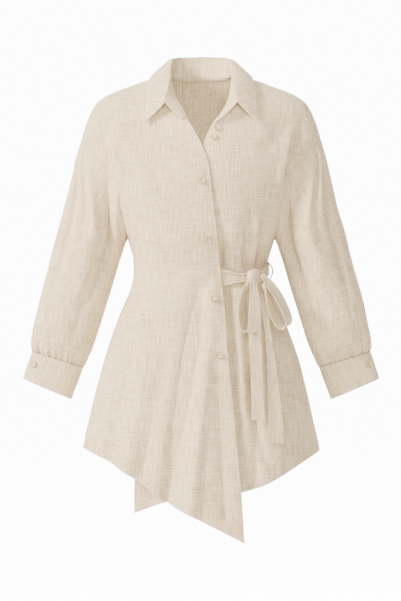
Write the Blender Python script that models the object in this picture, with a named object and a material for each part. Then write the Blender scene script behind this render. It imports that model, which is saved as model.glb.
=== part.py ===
# A belted wrap shirt in linen, worn open at the neck and tied at its left side.
# Metres, +Z up. The front faces -Y, and +X is the wearer's left.
# The origin is the middle of the neck base, level with the shoulder seams.

import math

import bmesh
import bpy
import numpy as np
from mathutils import Matrix, Vector
from mathutils.bvhtree import BVHTree

# Driving sizes
cloth_wall = 0.0014
double_wall = 0.0019
belt_wall = 0.0018
seam_gap = 0.0003
underarm_level = -0.352
waist_level = -0.430
section_power = 2.2
shoulder_power = 2.2
button_radius = 0.0068
button_height = 0.0030
button_seat = 0.0005
button_sides = 16
thread_radius = 0.00125
neck_half_width = 0.068
back_neck_height = 0.004
neck_corner_width = 0.010
armhole_gap = 0.0012
collar_start_lift = 0.0009
collar_on_front = 0.0021
belt_stand_off = 0.0040
belt_tuck = 0.0078
belt_front_lift = 0.0060
belt_side_lift = 0.0170
fold_line_steps = 12
settling_rounds = 14

# Shoulder seam seen from the front. Columns: distance from the centre, height
shoulder_line = (
    (0.000, 0.0300), (0.020, 0.0260), (0.040, 0.0180), (0.060, 0.0098), (0.070, 0.0058),
    (0.090, 0.0016), (0.117, -0.0022), (0.1544, -0.0154), (0.1896, -0.0286), (0.216, -0.0418),
    (0.2314, -0.0550), (0.2402, -0.0682), (0.2480, -0.0860), (0.2556, -0.1060), (0.2630, -0.1300),
)

# Body above the underarm. Columns: share of the way down, half width of the whole
# oval, front depth, back depth, armhole seam's distance from the centre
upper_body = (
    (0.00, 0.2900, 0.098, 0.096, 0.2620), (0.30, 0.2555, 0.106, 0.104, 0.2386),
    (0.41, 0.2450, 0.109, 0.105, 0.2206), (0.55, 0.2290, 0.114, 0.105, 0.1930),
    (0.65, 0.2185, 0.118, 0.104, 0.1830), (0.82, 0.1900, 0.121, 0.102, 0.1745),
    (1.00, 0.1617, 0.122, 0.100, 0.1617),
)

# Body below the underarm. Columns: height, half width, front depth, back depth
lower_body = (
    (-0.352, 0.1617, 0.122, 0.100), (-0.376, 0.1545, 0.113, 0.093), (-0.398, 0.1480, 0.106, 0.088),
    (-0.420, 0.1455, 0.102, 0.086), (-0.442, 0.1475, 0.102, 0.087), (-0.464, 0.1560, 0.106, 0.092),
    (-0.508, 0.1749, 0.115, 0.102), (-0.552, 0.1920, 0.124, 0.112), (-0.618, 0.2134, 0.136, 0.123),
    (-0.706, 0.2365, 0.149, 0.134), (-0.806, 0.2590, 0.161, 0.146), (-0.900, 0.2760, 0.171, 0.154),
    (-1.020, 0.2920, 0.181, 0.162),
)

# Front edges above the underarm, from the neck point down. Columns: share of the
# way down, distance from the centre towards the panel's own side
right_edge_top = (
    (0.000, 0.0680), (0.059, 0.0631), (0.157, 0.0543), (0.237, 0.0405), (0.300, 0.0308),
    (0.363, 0.0195), (0.468, -0.0008), (0.559, -0.0136), (0.715, -0.0224), (0.881, -0.0297),
    (1.000, -0.0353),
)
left_edge_top = (
    (0.000, 0.0680), (0.059, 0.0650), (0.179, 0.0566), (0.277, 0.0400), (0.326, 0.0275),
    (0.384, 0.0165), (0.465, 0.0054), (0.705, -0.0120), (1.000, -0.0240),
)

# Front edges below the underarm. Columns: height, distance from the centre
right_edge_low = (
    (-1.006, -0.0924), (-0.884, -0.0847), (-0.807, -0.0777), (-0.729, -0.0700), (-0.658, -0.0625),
    (-0.600, -0.0574), (-0.480, -0.0483), (-0.417, -0.0408), (-0.352, -0.0353),
)
left_edge_low = (
    (-0.950, -0.1438), (-0.870, -0.1400), (-0.760, -0.1100), (-0.600, -0.0620), (-0.400, -0.0300),
    (-0.352, -0.0240),
)

# Hems. Columns: distance from the centre towards the panel's own side, height
right_hem = (
    (-0.0924, -1.0060), (-0.0081, -0.9629), (0.0767, -0.9186), (0.1429, -0.8704),
    (0.1686, -0.8536), (0.2110, -0.8303), (0.2620, -0.8063),
)
left_hem = (
    (-0.1438, -0.9413), (-0.0768, -0.9193), (-0.0026, -0.9084), (0.0885, -0.8994),
    (0.1386, -0.8827), (0.1712, -0.8661), (0.2121, -0.8416), (0.2620, -0.8136),
)
back_hem = ((0.000, -0.868), (0.100, -0.862), (0.180, -0.842), (0.262, -0.810))

# How far the left front lies inside where the right front covers it.
# Columns: height, depth
covered_depth = (
    (-1.000, 0.0200), (-0.900, 0.0170), (-0.760, 0.0110), (-0.600, 0.0080), (-0.430, 0.0070),
    (-0.250, 0.0055), (-0.150, 0.0045), (0.000, 0.0040),
)

# Folds, as troughs (depth over 0) and ridges (under 0). Columns: start x, start
# height, middle x, middle height, end x, end height, half width, depth at the
# start, at the middle and at the end
right_front_folds = (
    (-0.006, -0.455, -0.034, -0.610, -0.086, -0.925, 0.015, 0.000, 0.006, 0.011),
    (0.012, -0.470, 0.000, -0.640, -0.030, -0.940, 0.017, 0.000, -0.004, -0.006),
    (-0.055, -0.520, -0.095, -0.690, -0.128, -0.860, 0.020, 0.000, 0.003, 0.006),
    (-0.105, -0.560, -0.128, -0.700, -0.158, -0.850, 0.019, 0.000, -0.003, -0.006),
    (-0.120, -0.470, -0.165, -0.640, -0.200, -0.830, 0.020, 0.000, 0.004, 0.007),
    (0.030, -0.540, 0.042, -0.740, 0.052, -0.950, 0.015, 0.000, 0.003, 0.005),
    (-0.120, -0.150, -0.100, -0.230, -0.060, -0.300, 0.016, 0.000, 0.0025, 0.000),
    (-0.110, -0.300, -0.085, -0.370, -0.045, -0.420, 0.014, 0.000, 0.002, 0.000),
)
left_front_folds = (
    (0.073, -0.470, 0.078, -0.560, 0.088, -0.700, 0.012, 0.006, 0.005, 0.002),
    (0.128, -0.480, 0.150, -0.590, 0.178, -0.760, 0.013, 0.003, 0.006, 0.006),
    (0.178, -0.560, 0.205, -0.680, 0.226, -0.810, 0.014, 0.000, 0.004, 0.006),
    (0.112, -0.560, 0.122, -0.720, 0.118, -0.880, 0.014, 0.000, 0.003, 0.006),
    (0.103, -0.408, 0.104, -0.375, 0.112, -0.330, 0.009, 0.004, 0.004, 0.000),
    (0.135, -0.404, 0.143, -0.360, 0.148, -0.300, 0.009, 0.003, 0.004, 0.000),
    (0.122, -0.402, 0.125, -0.340, 0.122, -0.270, 0.010, 0.000, -0.003, 0.000),
    (0.215, -0.090, 0.165, -0.125, 0.112, -0.182, 0.013, 0.000, 0.004, 0.000),
)
back_folds = (
    (-0.050, -0.475, -0.070, -0.640, -0.095, -0.850, 0.022, 0.000, 0.006, 0.009),
    (0.040, -0.475, 0.062, -0.650, 0.082, -0.855, 0.020, 0.000, 0.005, 0.008),
    (0.120, -0.480, 0.150, -0.640, 0.180, -0.835, 0.020, 0.000, 0.005, 0.007),
    (-0.125, -0.490, -0.155, -0.650, -0.185, -0.835, 0.022, 0.000, 0.005, 0.007),
    (0.000, -0.160, 0.008, -0.270, 0.004, -0.390, 0.024, 0.000, 0.004, 0.003),
)

# Sleeve seen from the front, from the armhole to the cuff. Columns: share of the
# way, outer x and height, inner x and height, depth from front to back
sleeve_sections = (
    (0.00, 0.2642, -0.1305, 0.1650, -0.3530, 0.126), (0.10, 0.2776, -0.1782, 0.1668, -0.3600, 0.126),
    (0.20, 0.2864, -0.2222, 0.1686, -0.3660, 0.124), (0.30, 0.3005, -0.2800, 0.1716, -0.3790, 0.120),
    (0.40, 0.3190, -0.3470, 0.1810, -0.4080, 0.116), (0.50, 0.3345, -0.4070, 0.1950, -0.4560, 0.112),
    (0.60, 0.3500, -0.4630, 0.2098, -0.5037, 0.106), (0.70, 0.3612, -0.5080, 0.2235, -0.5480, 0.098),
    (0.80, 0.3705, -0.5500, 0.2370, -0.5885, 0.088), (0.90, 0.3742, -0.5770, 0.2478, -0.6130, 0.074),
    (1.00, 0.3722, -0.5990, 0.2592, -0.6345, 0.050),
)

# Folds along the sleeve. Columns: turn round the arm at the start and at the end
# (0 over the arm, 0.25 at the front, 0.5 at the underarm), start and end of the
# share of the way, half width in turns, depth
sleeve_folds = (
    (0.360, 0.335, 0.02, 0.46, 0.034, 0.011), (0.200, 0.215, 0.00, 0.40, 0.034, 0.006),
    (0.275, 0.270, 0.00, 0.42, 0.030, -0.004), (0.110, 0.150, 0.06, 0.60, 0.040, 0.004),
    (0.640, 0.660, 0.02, 0.45, 0.036, 0.009), (0.780, 0.760, 0.00, 0.55, 0.036, 0.006),
    (0.310, 0.300, 0.45, 0.85, 0.034, 0.003), (0.700, 0.690, 0.40, 0.80, 0.036, 0.004),
)

# Gathers into the cuff. Columns: turn round the arm, where it starts, depth
cuff_gathers = (
    (0.055, 0.80, 0.0035), (0.125, 0.72, 0.0050), (0.200, 0.82, 0.0035), (0.275, 0.76, 0.0045),
    (0.350, 0.84, 0.0030), (0.430, 0.80, 0.0035), (0.560, 0.82, 0.0035), (0.640, 0.76, 0.0045),
    (0.720, 0.80, 0.0040), (0.800, 0.74, 0.0045), (0.880, 0.82, 0.0035), (0.950, 0.78, 0.0040),
)

# Cuff seen from the front. Columns: share of the way, outer x and height, inner x
# and height, depth
cuff_sections = (
    (0.00, 0.3724, -0.5996, 0.2594, -0.6351, 0.0480), (0.50, 0.3826, -0.6288, 0.2718, -0.6695, 0.0470),
    (1.00, 0.3920, -0.6583, 0.2846, -0.7042, 0.0460),
)

# Fold line of the collar on one side. Columns: share of the way from the centre
# back, x, y, height
roll_line = (
    (0.00, 0.0000, 0.0470, 0.0495), (0.18, 0.0290, 0.0440, 0.0490), (0.36, 0.0545, 0.0290, 0.0465),
    (0.46, 0.0640, 0.0060, 0.0420), (0.56, 0.0668, -0.0320, 0.0240), (0.66, 0.0682, -0.0560, -0.0030),
    (0.76, 0.0722, -0.0720, -0.0290), (0.86, 0.0776, -0.0840, -0.0575), (0.93, 0.0590, -0.0890, -0.0790),
    (1.00, 0.0410, -0.0885, -0.0930),
)
collar_apex = 0.86

# Seam line of the collar stand: how far down each front's neck edge it runs
right_stand_end = 0.300
left_stand_end = 0.326
shoulder_share = 0.46

# Outer edge of the collar leaf. Columns: share of the way, x, y, height
leaf_edge = (
    (0.00, 0.0000, 0.0650, -0.0060), (0.18, 0.0400, 0.0630, -0.0050), (0.34, 0.0780, 0.0530, 0.0010),
    (0.43, 0.1000, 0.0320, 0.0050), (0.50, 0.1100, 0.0060, 0.0070), (0.60, 0.1165, -0.0430, -0.0170),
    (0.70, 0.1205, -0.0630, -0.0520), (0.80, 0.1232, -0.0750, -0.0860), (0.86, 0.1245, -0.0815, -0.1020),
)

# Middle line of the belt. Columns: turn round the waist (0 at the right side seam,
# 0.5 at the left one, front first), height, half width
belt_line = (
    (0.000, -0.4280, 0.0150), (0.060, -0.4290, 0.0150), (0.200, -0.4340, 0.0155),
    (0.290, -0.4365, 0.0185), (0.345, -0.4330, 0.0130), (0.375, -0.4310, 0.0100),
    (0.420, -0.4270, 0.0120), (0.480, -0.4190, 0.0130), (0.520, -0.4180, 0.0145),
    (0.750, -0.4180, 0.0155), (0.900, -0.4230, 0.0155), (1.000, -0.4280, 0.0150),
)
knot_centre = (0.1150, -0.4335)
knot_size = (0.0165, 0.0130, 0.0190)
knot_turn = 38
slit_level = -0.427
slit_height = 0.021

# Bow loops and tails as ribbons. Columns: x, y, height, width across (x, y, height)
right_bow = (
    (0.1085, -0.0965, -0.4531, 0.0120, 0.0040, 0.0), (0.1118, -0.1150, -0.4640, 0.0160, 0.0060, 0.0),
    (0.1144, -0.1260, -0.4797, 0.0205, 0.0080, 0.0), (0.1144, -0.1340, -0.5078, 0.0240, 0.0080, 0.0),
    (0.1135, -0.1370, -0.5330, 0.0243, 0.0080, 0.0), (0.1110, -0.1360, -0.5480, 0.0235, 0.0100, 0.0),
    (0.1020, -0.1320, -0.5550, 0.0200, 0.0160, 0.0), (0.0906, -0.1260, -0.5456, 0.0120, 0.0210, 0.0),
    (0.0867, -0.1210, -0.5251, 0.0125, 0.0210, 0.0), (0.0874, -0.1170, -0.5013, 0.0125, 0.0200, 0.0),
    (0.0915, -0.1110, -0.4776, 0.0120, 0.0160, 0.0), (0.0990, -0.1030, -0.4620, 0.0100, 0.0080, 0.0),
)
left_bow = (
    (0.1306, -0.0950, -0.4330, 0.0020, 0.0150, 0.0050), (0.1480, -0.1050, -0.4530, 0.0120, 0.0200, 0.0120),
    (0.1674, -0.1110, -0.4800, 0.0145, 0.0200, 0.0120), (0.1805, -0.1130, -0.5060, 0.0145, 0.0205, 0.0110),
    (0.1885, -0.1130, -0.5290, 0.0145, 0.0205, 0.0100), (0.1865, -0.1130, -0.5420, 0.0140, 0.0205, 0.0100),
    (0.1775, -0.1140, -0.5450, 0.0130, 0.0205, 0.0100), (0.1670, -0.1150, -0.5370, 0.0130, 0.0205, 0.0090),
    (0.1560, -0.1140, -0.5170, 0.0130, 0.0205, 0.0080), (0.1490, -0.1110, -0.4920, 0.0120, 0.0205, 0.0070),
    (0.1440, -0.1060, -0.4690, 0.0100, 0.0190, 0.0060), (0.1330, -0.1010, -0.4510, 0.0030, 0.0150, 0.0030),
)
# Tails. Columns: x, height, half width across, standing off the front
short_tail = (
    (0.1150, -0.4535, 0.0065, 0.0150), (0.1190, -0.4850, 0.0100, 0.009), (0.1190, -0.5560, 0.0105, 0.006),
    (0.1195, -0.6400, 0.0125, 0.006), (0.1225, -0.7441, 0.0138, 0.005),
)
long_tail = (
    (0.1275, -0.4510, 0.0048, 0.0220), (0.1365, -0.4950, 0.0070, 0.021), (0.1440, -0.5560, 0.0055, 0.013),
    (0.1505, -0.6200, 0.0095, 0.006), (0.1562, -0.7000, 0.0140, 0.005), (0.1613, -0.7945, 0.0168, 0.005),
)

# Buttons on the fronts. Columns: x, height
fastened_buttons = ((0.0019, -0.2291), (0.0146, -0.3565), (0.0272, -0.4838), (0.0389, -0.6054))
neck_buttons = ((0.0346, -0.1120), (0.0270, -0.1330))
cuff_button = (0.3668, -0.6270)


def smooth_read(table, column, at):
    # A smooth curve through one column of a table, read at values of its first column
    table = sorted(table)
    knots = np.array([row[0] for row in table], float)
    values = np.array([row[column] for row in table], float)
    slopes = np.gradient(values, knots)
    at = np.clip(np.asarray(at, float), knots[0], knots[-1])
    low = np.clip(np.searchsorted(knots, at, side="right") - 1, 0, len(knots) - 2)
    span = knots[low + 1] - knots[low]
    part = (at - knots[low]) / span
    rest = 1 - part
    return (values[low] * (1 + 2 * part) * rest ** 2 + values[low + 1] * (1 + 2 * rest) * part ** 2
            + span * (slopes[low] * part * rest ** 2 - slopes[low + 1] * rest * part ** 2))


def ease(value):
    value = np.clip(value, 0, 1)
    return value * value * (3 - 2 * value)


def bump(value):
    # 1 in the middle, falling softly to 0 at -1 and 1
    return ease(1 - np.abs(value))


def signed_power(value, power):
    return np.sign(value) * np.abs(value) ** power


def shoulder_height(x):
    return smooth_read(shoulder_line, 1, np.abs(x))


def fold_depth(folds, x, z):
    # Each fold follows a bent line on the front view and fades away from it
    depth = np.zeros(np.broadcast(x, z).shape)
    steps = np.linspace(0, 1, fold_line_steps + 1)
    for x0, z0, x1, z1, x2, z2, half_width, start, middle, end in folds:
        line_x = (1 - steps) ** 2 * x0 + 2 * steps * (1 - steps) * x1 + steps ** 2 * x2
        line_z = (1 - steps) ** 2 * z0 + 2 * steps * (1 - steps) * z1 + steps ** 2 * z2
        nearest = np.full(depth.shape, 9.0)
        along = np.zeros(depth.shape)
        for i in range(fold_line_steps):
            run_x = line_x[i + 1] - line_x[i]
            run_z = line_z[i + 1] - line_z[i]
            part = ((x - line_x[i]) * run_x + (z - line_z[i]) * run_z) / (run_x ** 2 + run_z ** 2)
            part = np.clip(part, 0, 1)
            away = np.hypot(x - line_x[i] - part * run_x, z - line_z[i] - part * run_z)
            closer = away < nearest
            nearest = np.where(closer, away, nearest)
            along = np.where(closer, (i + part) / fold_line_steps, along)
        strength = np.where(along < 0.5, start + (middle - start) * ease(2 * along),
                            middle + (end - middle) * ease(2 * along - 1))
        depth += strength * np.exp(-(nearest / half_width) ** 2)
    return depth


def oval_angle(share):
    # The angle round the oval section at which its width is this share of the half width
    share = np.clip(share, -1, 1)
    return np.arccos(signed_power(share, section_power / 2))


def oval(half_width, depth, angle):
    across = half_width * signed_power(np.cos(angle), 2 / section_power)
    forward = depth * np.abs(np.sin(angle)) ** (2 / section_power)
    return across, forward


def body_point(panel, across, down):
    # A point of a front or the back. across runs from the panel's side seam or
    # armhole (0) to its other edge (1), down from the shoulder (0) past the
    # underarm (1) to the hem (2)
    depth_column = 3 if panel["back"] else 2
    top_down = np.clip(down, 0, 1)
    turn = top_down * math.pi / 2
    level = 1 - np.abs(np.cos(turn)) ** (2 / shoulder_power)
    fullness = np.sin(turn) ** (2 / shoulder_power)
    half_width = smooth_read(upper_body, 1, level)
    depth = smooth_read(upper_body, depth_column, level)
    start = oval_angle(smooth_read(upper_body, 4, level) / half_width)
    if panel["back"]:
        end = math.pi - start
    else:
        end = oval_angle(smooth_read(panel["edge_top"], 1, level) / half_width)
    angle = start + (end - start) * across
    aside, forward = oval(half_width, depth, angle)
    top = shoulder_height(aside)
    if panel["back"]:
        # The back neck is cut level, a little below the line that joins the shoulder seams
        neck_level = np.clip((top - back_neck_height) / (top - underarm_level), 0, 1)
        neck_level = neck_level * ease((neck_half_width - np.abs(aside)) / neck_corner_width)
        level = neck_level + (1 - neck_level) * level
        fullness = (1 - (1 - level) ** shoulder_power) ** (1 / shoulder_power)
    upper_z = top + (underarm_level - top) * level
    upper_y = forward * fullness

    share = np.clip(down - 1, 0, 1)
    if panel["back"]:
        end = np.full(np.shape(share), math.pi)
    else:
        edge_aside = np.full(np.shape(share), panel["edge_low"][-1][1])
        for _ in range(settling_rounds):
            edge_z = underarm_level + (smooth_read(panel["hem"], 1, edge_aside) - underarm_level) * share
            edge_aside = smooth_read(panel["edge_low"], 1, edge_z)
        end = oval_angle(edge_aside / smooth_read(lower_body, 1, edge_z))
    angle = end * across
    z = underarm_level - 0.5 * share
    for _ in range(settling_rounds):
        half_width = smooth_read(lower_body, 1, z)
        depth = smooth_read(lower_body, depth_column, z)
        low_aside, forward = oval(half_width, depth, angle)
        hem_aside = np.abs(low_aside) if panel["back"] else low_aside
        z = underarm_level + (smooth_read(panel["hem"], 1, hem_aside) - underarm_level) * share
    below = down > 1
    aside = np.where(below, low_aside, aside)
    z = np.where(below, z, upper_z)
    y = np.where(below, forward, upper_y)
    y = y if panel["back"] else -y
    x = aside * panel["side"]

    # Straight out from the body, level with the ground
    width_here = np.where(below, half_width, smooth_read(upper_body, 1, level))
    depth_here = np.where(below, depth, smooth_read(upper_body, depth_column, level))
    out_x = signed_power(x / width_here, section_power - 1) / width_here
    out_y = signed_power(y / depth_here, section_power - 1) / depth_here
    length = np.hypot(out_x, out_y) + 1e-9
    out_x = out_x / length
    out_y = out_y / length
    push = -fold_depth(panel["folds"], x, z)
    push = push * ease((shoulder_height(x) - z) / 0.05)
    # Folds die away at the seams, and the belt presses the waist smooth
    side_seam = ease((np.abs(x) / width_here - 0.985) / 0.015)
    push = push * (1 - np.where(z < underarm_level, side_seam, 0))
    push = push * (1 - 0.8 * bump((z - waist_level) / 0.045))
    if panel["name"] == "left_front":
        push = push - covered_inset(x, z)
    slit = ease(1.8 - np.abs(z - slit_level) / slit_height) * ease(1 - (x + width_here) / 0.020)
    slit = slit * np.where(x < 0, 1, 0)
    if panel["name"] == "right_front":
        push = push + 0.0030 * slit
    if panel["back"]:
        push = push - 0.0032 * slit
    x = x + out_x * push
    y = y + out_y * push
    # The seams to the neighbours keep a gap
    y = y + (seam_gap if panel["back"] else -seam_gap) * 1.6
    return np.stack([x, y, z * np.ones_like(x)], -1)


def covered_inset(x, z):
    # How far the left front lies inside, where the right front covers it
    edge_x = -smooth_read(right_edge_low, 1, z)
    level = (shoulder_height(x) - z) / (shoulder_height(x) - underarm_level)
    edge_x = np.where(z > underarm_level, -smooth_read(right_edge_top, 1, level), edge_x)
    cover = ease(1 - (x - edge_x - 0.004) / 0.050)
    return smooth_read(covered_depth, 1, z) * cover


def surface_grid(surface, us, vs):
    # Points of a surface and its unit normals, by small steps to each side
    us = np.asarray(us, float)
    vs = np.asarray(vs, float)
    v, u = np.meshgrid(vs, us, indexing="ij")
    step = 2e-3
    points = surface(u, v)
    u0 = np.clip(u - step, us[0], us[-1])
    u1 = np.clip(u + step, us[0], us[-1])
    v0 = np.clip(v - step, vs[0], vs[-1])
    v1 = np.clip(v + step, vs[0], vs[-1])
    along_u = surface(u1, v) - surface(u0, v)
    along_v = surface(u, v1) - surface(u, v0)
    normals = np.cross(along_u, along_v)
    normals /= np.linalg.norm(normals, axis=-1, keepdims=True) + 1e-12
    return points, normals


def principled(name, colour, roughness):
    material = bpy.data.materials.get(name) or bpy.data.materials.new(name)
    material.use_nodes = True
    shader = material.node_tree.nodes["Principled BSDF"]
    shader.inputs["Base Color"].default_value = (*colour, 1)
    shader.inputs["Roughness"].default_value = roughness
    shader.inputs["Metallic"].default_value = 0
    return material


def linen():
    return principled("linen", (0.72, 0.64, 0.53), 0.9)


def linen_inside():
    return principled("linen_double", (0.74, 0.66, 0.55), 0.9)


def ivory():
    return principled("ivory_plastic", (0.78, 0.70, 0.54), 0.35)


def thread():
    return principled("thread", (0.70, 0.62, 0.50), 0.8)


built_surfaces = {}


def add_object(name, mesh_data, material, smooth=True):
    mesh = bpy.data.meshes.new(name)
    bmesh.ops.recalc_face_normals(mesh_data, faces=mesh_data.faces)
    built_surfaces[name] = BVHTree.FromBMesh(mesh_data)
    mesh_data.to_mesh(mesh)
    mesh_data.free()
    if smooth:
        mesh.shade_smooth()
    mesh.materials.append(material)
    piece = bpy.data.objects.new(name, mesh)
    bpy.context.scene.collection.objects.link(piece)
    return piece


def add_shell(name, outer, inner, material, closed=False):
    # A cloth wall between two grids of points, with a rim along each free edge
    rows, columns = outer.shape[:2]
    shell = bmesh.new()
    face_a = [[shell.verts.new(point) for point in row] for row in outer]
    face_b = [[shell.verts.new(point) for point in row] for row in inner]

    def quad(a, b, c, d):
        shell.faces.new((a, b, c))
        shell.faces.new((a, c, d))

    spans = columns if closed else columns - 1
    for i in range(rows - 1):
        for j in range(spans):
            k = (j + 1) % columns
            quad(face_a[i][j], face_a[i][k], face_a[i + 1][k], face_a[i + 1][j])
            quad(face_b[i][j], face_b[i][k], face_b[i + 1][k], face_b[i + 1][j])
    for i in (0, rows - 1):
        for j in range(spans):
            k = (j + 1) % columns
            quad(face_a[i][j], face_a[i][k], face_b[i][k], face_b[i][j])
    if not closed:
        for j in (0, columns - 1):
            for i in range(rows - 1):
                quad(face_a[i][j], face_a[i + 1][j], face_b[i + 1][j], face_b[i][j])
    return add_object(name, shell, material)


right_front = {
    "name": "right_front", "side": -1, "back": False, "edge_top": right_edge_top,
    "edge_low": right_edge_low, "hem": right_hem, "folds": right_front_folds, "columns": 22,
}
left_front = {
    "name": "left_front", "side": 1, "back": False, "edge_top": left_edge_top,
    "edge_low": left_edge_low, "hem": left_hem, "folds": left_front_folds, "columns": 21,
}
back = {
    "name": "back", "side": -1, "back": True, "hem": back_hem, "folds": back_folds, "columns": 23,
}

upper_rows = (0.0, 0.11, 0.21, 0.30, 0.39, 0.48, 0.57, 0.66, 0.76, 0.87, 1.0)
lower_rows = (0.05, 0.09, 0.12, 0.15, 0.18, 0.215, 0.26, 0.33, 0.42, 0.52, 0.63, 0.75, 0.88, 1.0)
panel_rows = upper_rows + tuple(1 + share for share in lower_rows)


def add_panel(panel):
    points, normals = surface_grid(lambda u, v: body_point(panel, u, v),
                                   np.linspace(0, 1, panel["columns"]), panel_rows)
    # The normals point away from the body's middle line
    outward = normals[..., 0] * points[..., 0] + normals[..., 1] * points[..., 1]
    normals = normals * np.sign(np.sum(outward))
    return add_shell(panel["name"], points, points - normals * cloth_wall, linen())


def front_y(x, z):
    # The outer face of the left front and of the belt zone, read at a place of the front view
    half_width = smooth_read(lower_body, 1, z)
    depth = smooth_read(lower_body, 2, z)
    share = np.clip(1 - (np.abs(x) / half_width) ** section_power, 0, 1) ** (1 / section_power)
    low_y = -depth * share
    top = shoulder_height(x)
    level = np.clip((top - z) / (top - underarm_level), 0, 1)
    fullness = (1 - (1 - level) ** shoulder_power) ** (1 / shoulder_power)
    half_width = smooth_read(upper_body, 1, level)
    depth = smooth_read(upper_body, 2, level)
    share = np.clip(1 - (np.abs(x) / half_width) ** section_power, 0, 1) ** (1 / section_power)
    return np.where(z < underarm_level, low_y, -depth * share * fullness)


def built_edge(panel, across, down):
    # A place on a panel's straight-sided edge as it is built, between two of its points.
    # Either across or down is fixed on that edge
    if np.ndim(across) == 0:
        places = np.array(panel_rows)
        points = body_point(panel, np.full(places.shape, float(across)), places)
        at = down
    else:
        places = np.linspace(0, 1, panel["columns"])
        points = body_point(panel, places, np.full(places.shape, float(down)))
        at = across
    return np.stack([np.interp(at, places, points[:, axis]) for axis in range(3)], -1)


def armhole_ring(side, turns):
    # The armhole seam as a closed ring: over the arm, down the front, up the back
    front_down = np.clip(turns * 2, 0, 1)
    back_down = np.clip(2 - turns * 2, 0, 1)
    front_panel = right_front if side < 0 else left_front
    front_points = built_edge(front_panel, 0.0, front_down)
    back_points = built_edge(back, 0.0 if side < 0 else 1.0, back_down)
    return np.where((turns <= 0.5)[..., None], front_points, back_points)


def sleeve_point(side, turn, share):
    # turn goes round the arm, share from the armhole to the cuff
    turn = turn % 1.0
    angle = turn * 2 * math.pi
    outer = np.stack([smooth_read(sleeve_sections, 1, share), smooth_read(sleeve_sections, 2, share)], -1)
    inner = np.stack([smooth_read(sleeve_sections, 3, share), smooth_read(sleeve_sections, 4, share)], -1)
    depth = smooth_read(sleeve_sections, 5, share)
    middle = (outer + inner) / 2
    half = (outer - inner) / 2
    ring = armhole_ring(side, turn)
    first_outer = np.array([sleeve_sections[0][1], sleeve_sections[0][2]])
    first_inner = np.array([sleeve_sections[0][3], sleeve_sections[0][4]])
    first_middle = (first_outer + first_inner) / 2
    first_half = (first_outer - first_inner) / 2
    reach = np.dot(first_half, first_half)
    from_middle_x = ring[..., 0] * side - first_middle[0]
    from_middle_z = ring[..., 2] - first_middle[1]
    ring_along = (from_middle_x * first_half[0] + from_middle_z * first_half[1]) / reach
    ring_aside = (from_middle_x * first_half[1] - from_middle_z * first_half[0]) / math.sqrt(reach)
    round_off = ease(share / 0.34)
    along = ring_along * (1 - round_off) + np.cos(angle) * round_off
    aside = ring_aside * (1 - round_off)
    ring_y = ring[..., 1]
    # A soft oval, a little squarer than an ellipse
    oval_y = -depth / 2 * signed_power(np.sin(angle), 0.9)
    y = ring_y * (1 - round_off) + oval_y * round_off
    half_length = np.linalg.norm(half, axis=-1)
    x = middle[..., 0] + half[..., 0] * along + half[..., 1] / half_length * aside
    z = middle[..., 1] + half[..., 1] * along - half[..., 0] / half_length * aside

    push = np.zeros_like(x)
    for turn0, turn1, from_share, to_share, half_width, fold in sleeve_folds:
        part = (share - from_share) / (to_share - from_share)
        centre = turn0 + (turn1 - turn0) * np.clip(part, 0, 1)
        away = (turn - centre + 0.5) % 1.0 - 0.5
        push -= fold * np.sin(np.pi * np.clip(part, 0, 1)) ** 0.8 * np.exp(-(away / half_width) ** 2)
    for centre, from_share, fold in cuff_gathers:
        away = (turn - centre + 0.5) % 1.0 - 0.5
        part = ease((share - from_share) / (1 - from_share)) * (1 - 0.5 * ease((share - 0.97) / 0.03))
        push -= fold * part * np.exp(-(away / 0.020) ** 2)
    width_here = half_length
    out_along = np.cos(angle) / width_here
    out_y = -np.sin(angle) / (depth / 2)
    length = np.hypot(out_along, out_y)
    direction = half / half_length[..., None]
    x = x + direction[..., 0] * out_along / length * push
    z = z + direction[..., 1] * out_along / length * push
    y = y + out_y / length * push
    # The seam to the body keeps a gap
    clear = armhole_gap * (1 - ease(share / 0.2))
    x = x + 0.91 * clear
    z = z - 0.41 * clear
    return np.stack([x * side, y, z], -1)


def cuff_point(side, turn, share):
    angle = turn * 2 * math.pi
    outer_x = smooth_read(cuff_sections, 1, share)
    outer_z = smooth_read(cuff_sections, 2, share)
    inner_x = smooth_read(cuff_sections, 3, share)
    inner_z = smooth_read(cuff_sections, 4, share)
    depth = smooth_read(cuff_sections, 5, share)
    along = signed_power(np.cos(angle), 0.92)
    x = (outer_x + inner_x) / 2 + (outer_x - inner_x) / 2 * along
    z = (outer_z + inner_z) / 2 + (outer_z - inner_z) / 2 * along
    y = -depth / 2 * signed_power(np.sin(angle), 0.85)
    return np.stack([x * side, y, z], -1)


def add_tube(name, surface, turns, shares, wall):
    us = np.arange(turns) / turns
    v, u = np.meshgrid(np.asarray(shares, float), us, indexing="ij")
    step = 2e-3
    points = surface(u, v)
    v0 = np.clip(v - step, shares[0], shares[-1])
    v1 = np.clip(v + step, shares[0], shares[-1])
    normals = np.cross(surface((u + step) % 1.0, v) - surface((u - step) % 1.0, v),
                       surface(u, v1) - surface(u, v0))
    normals /= np.linalg.norm(normals, axis=-1, keepdims=True)
    centre = points.mean(axis=1, keepdims=True)
    normals *= np.sign(np.sum(normals * (points - centre)))
    return add_shell(name, points, points - normals * wall, linen(), closed=True)


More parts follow.
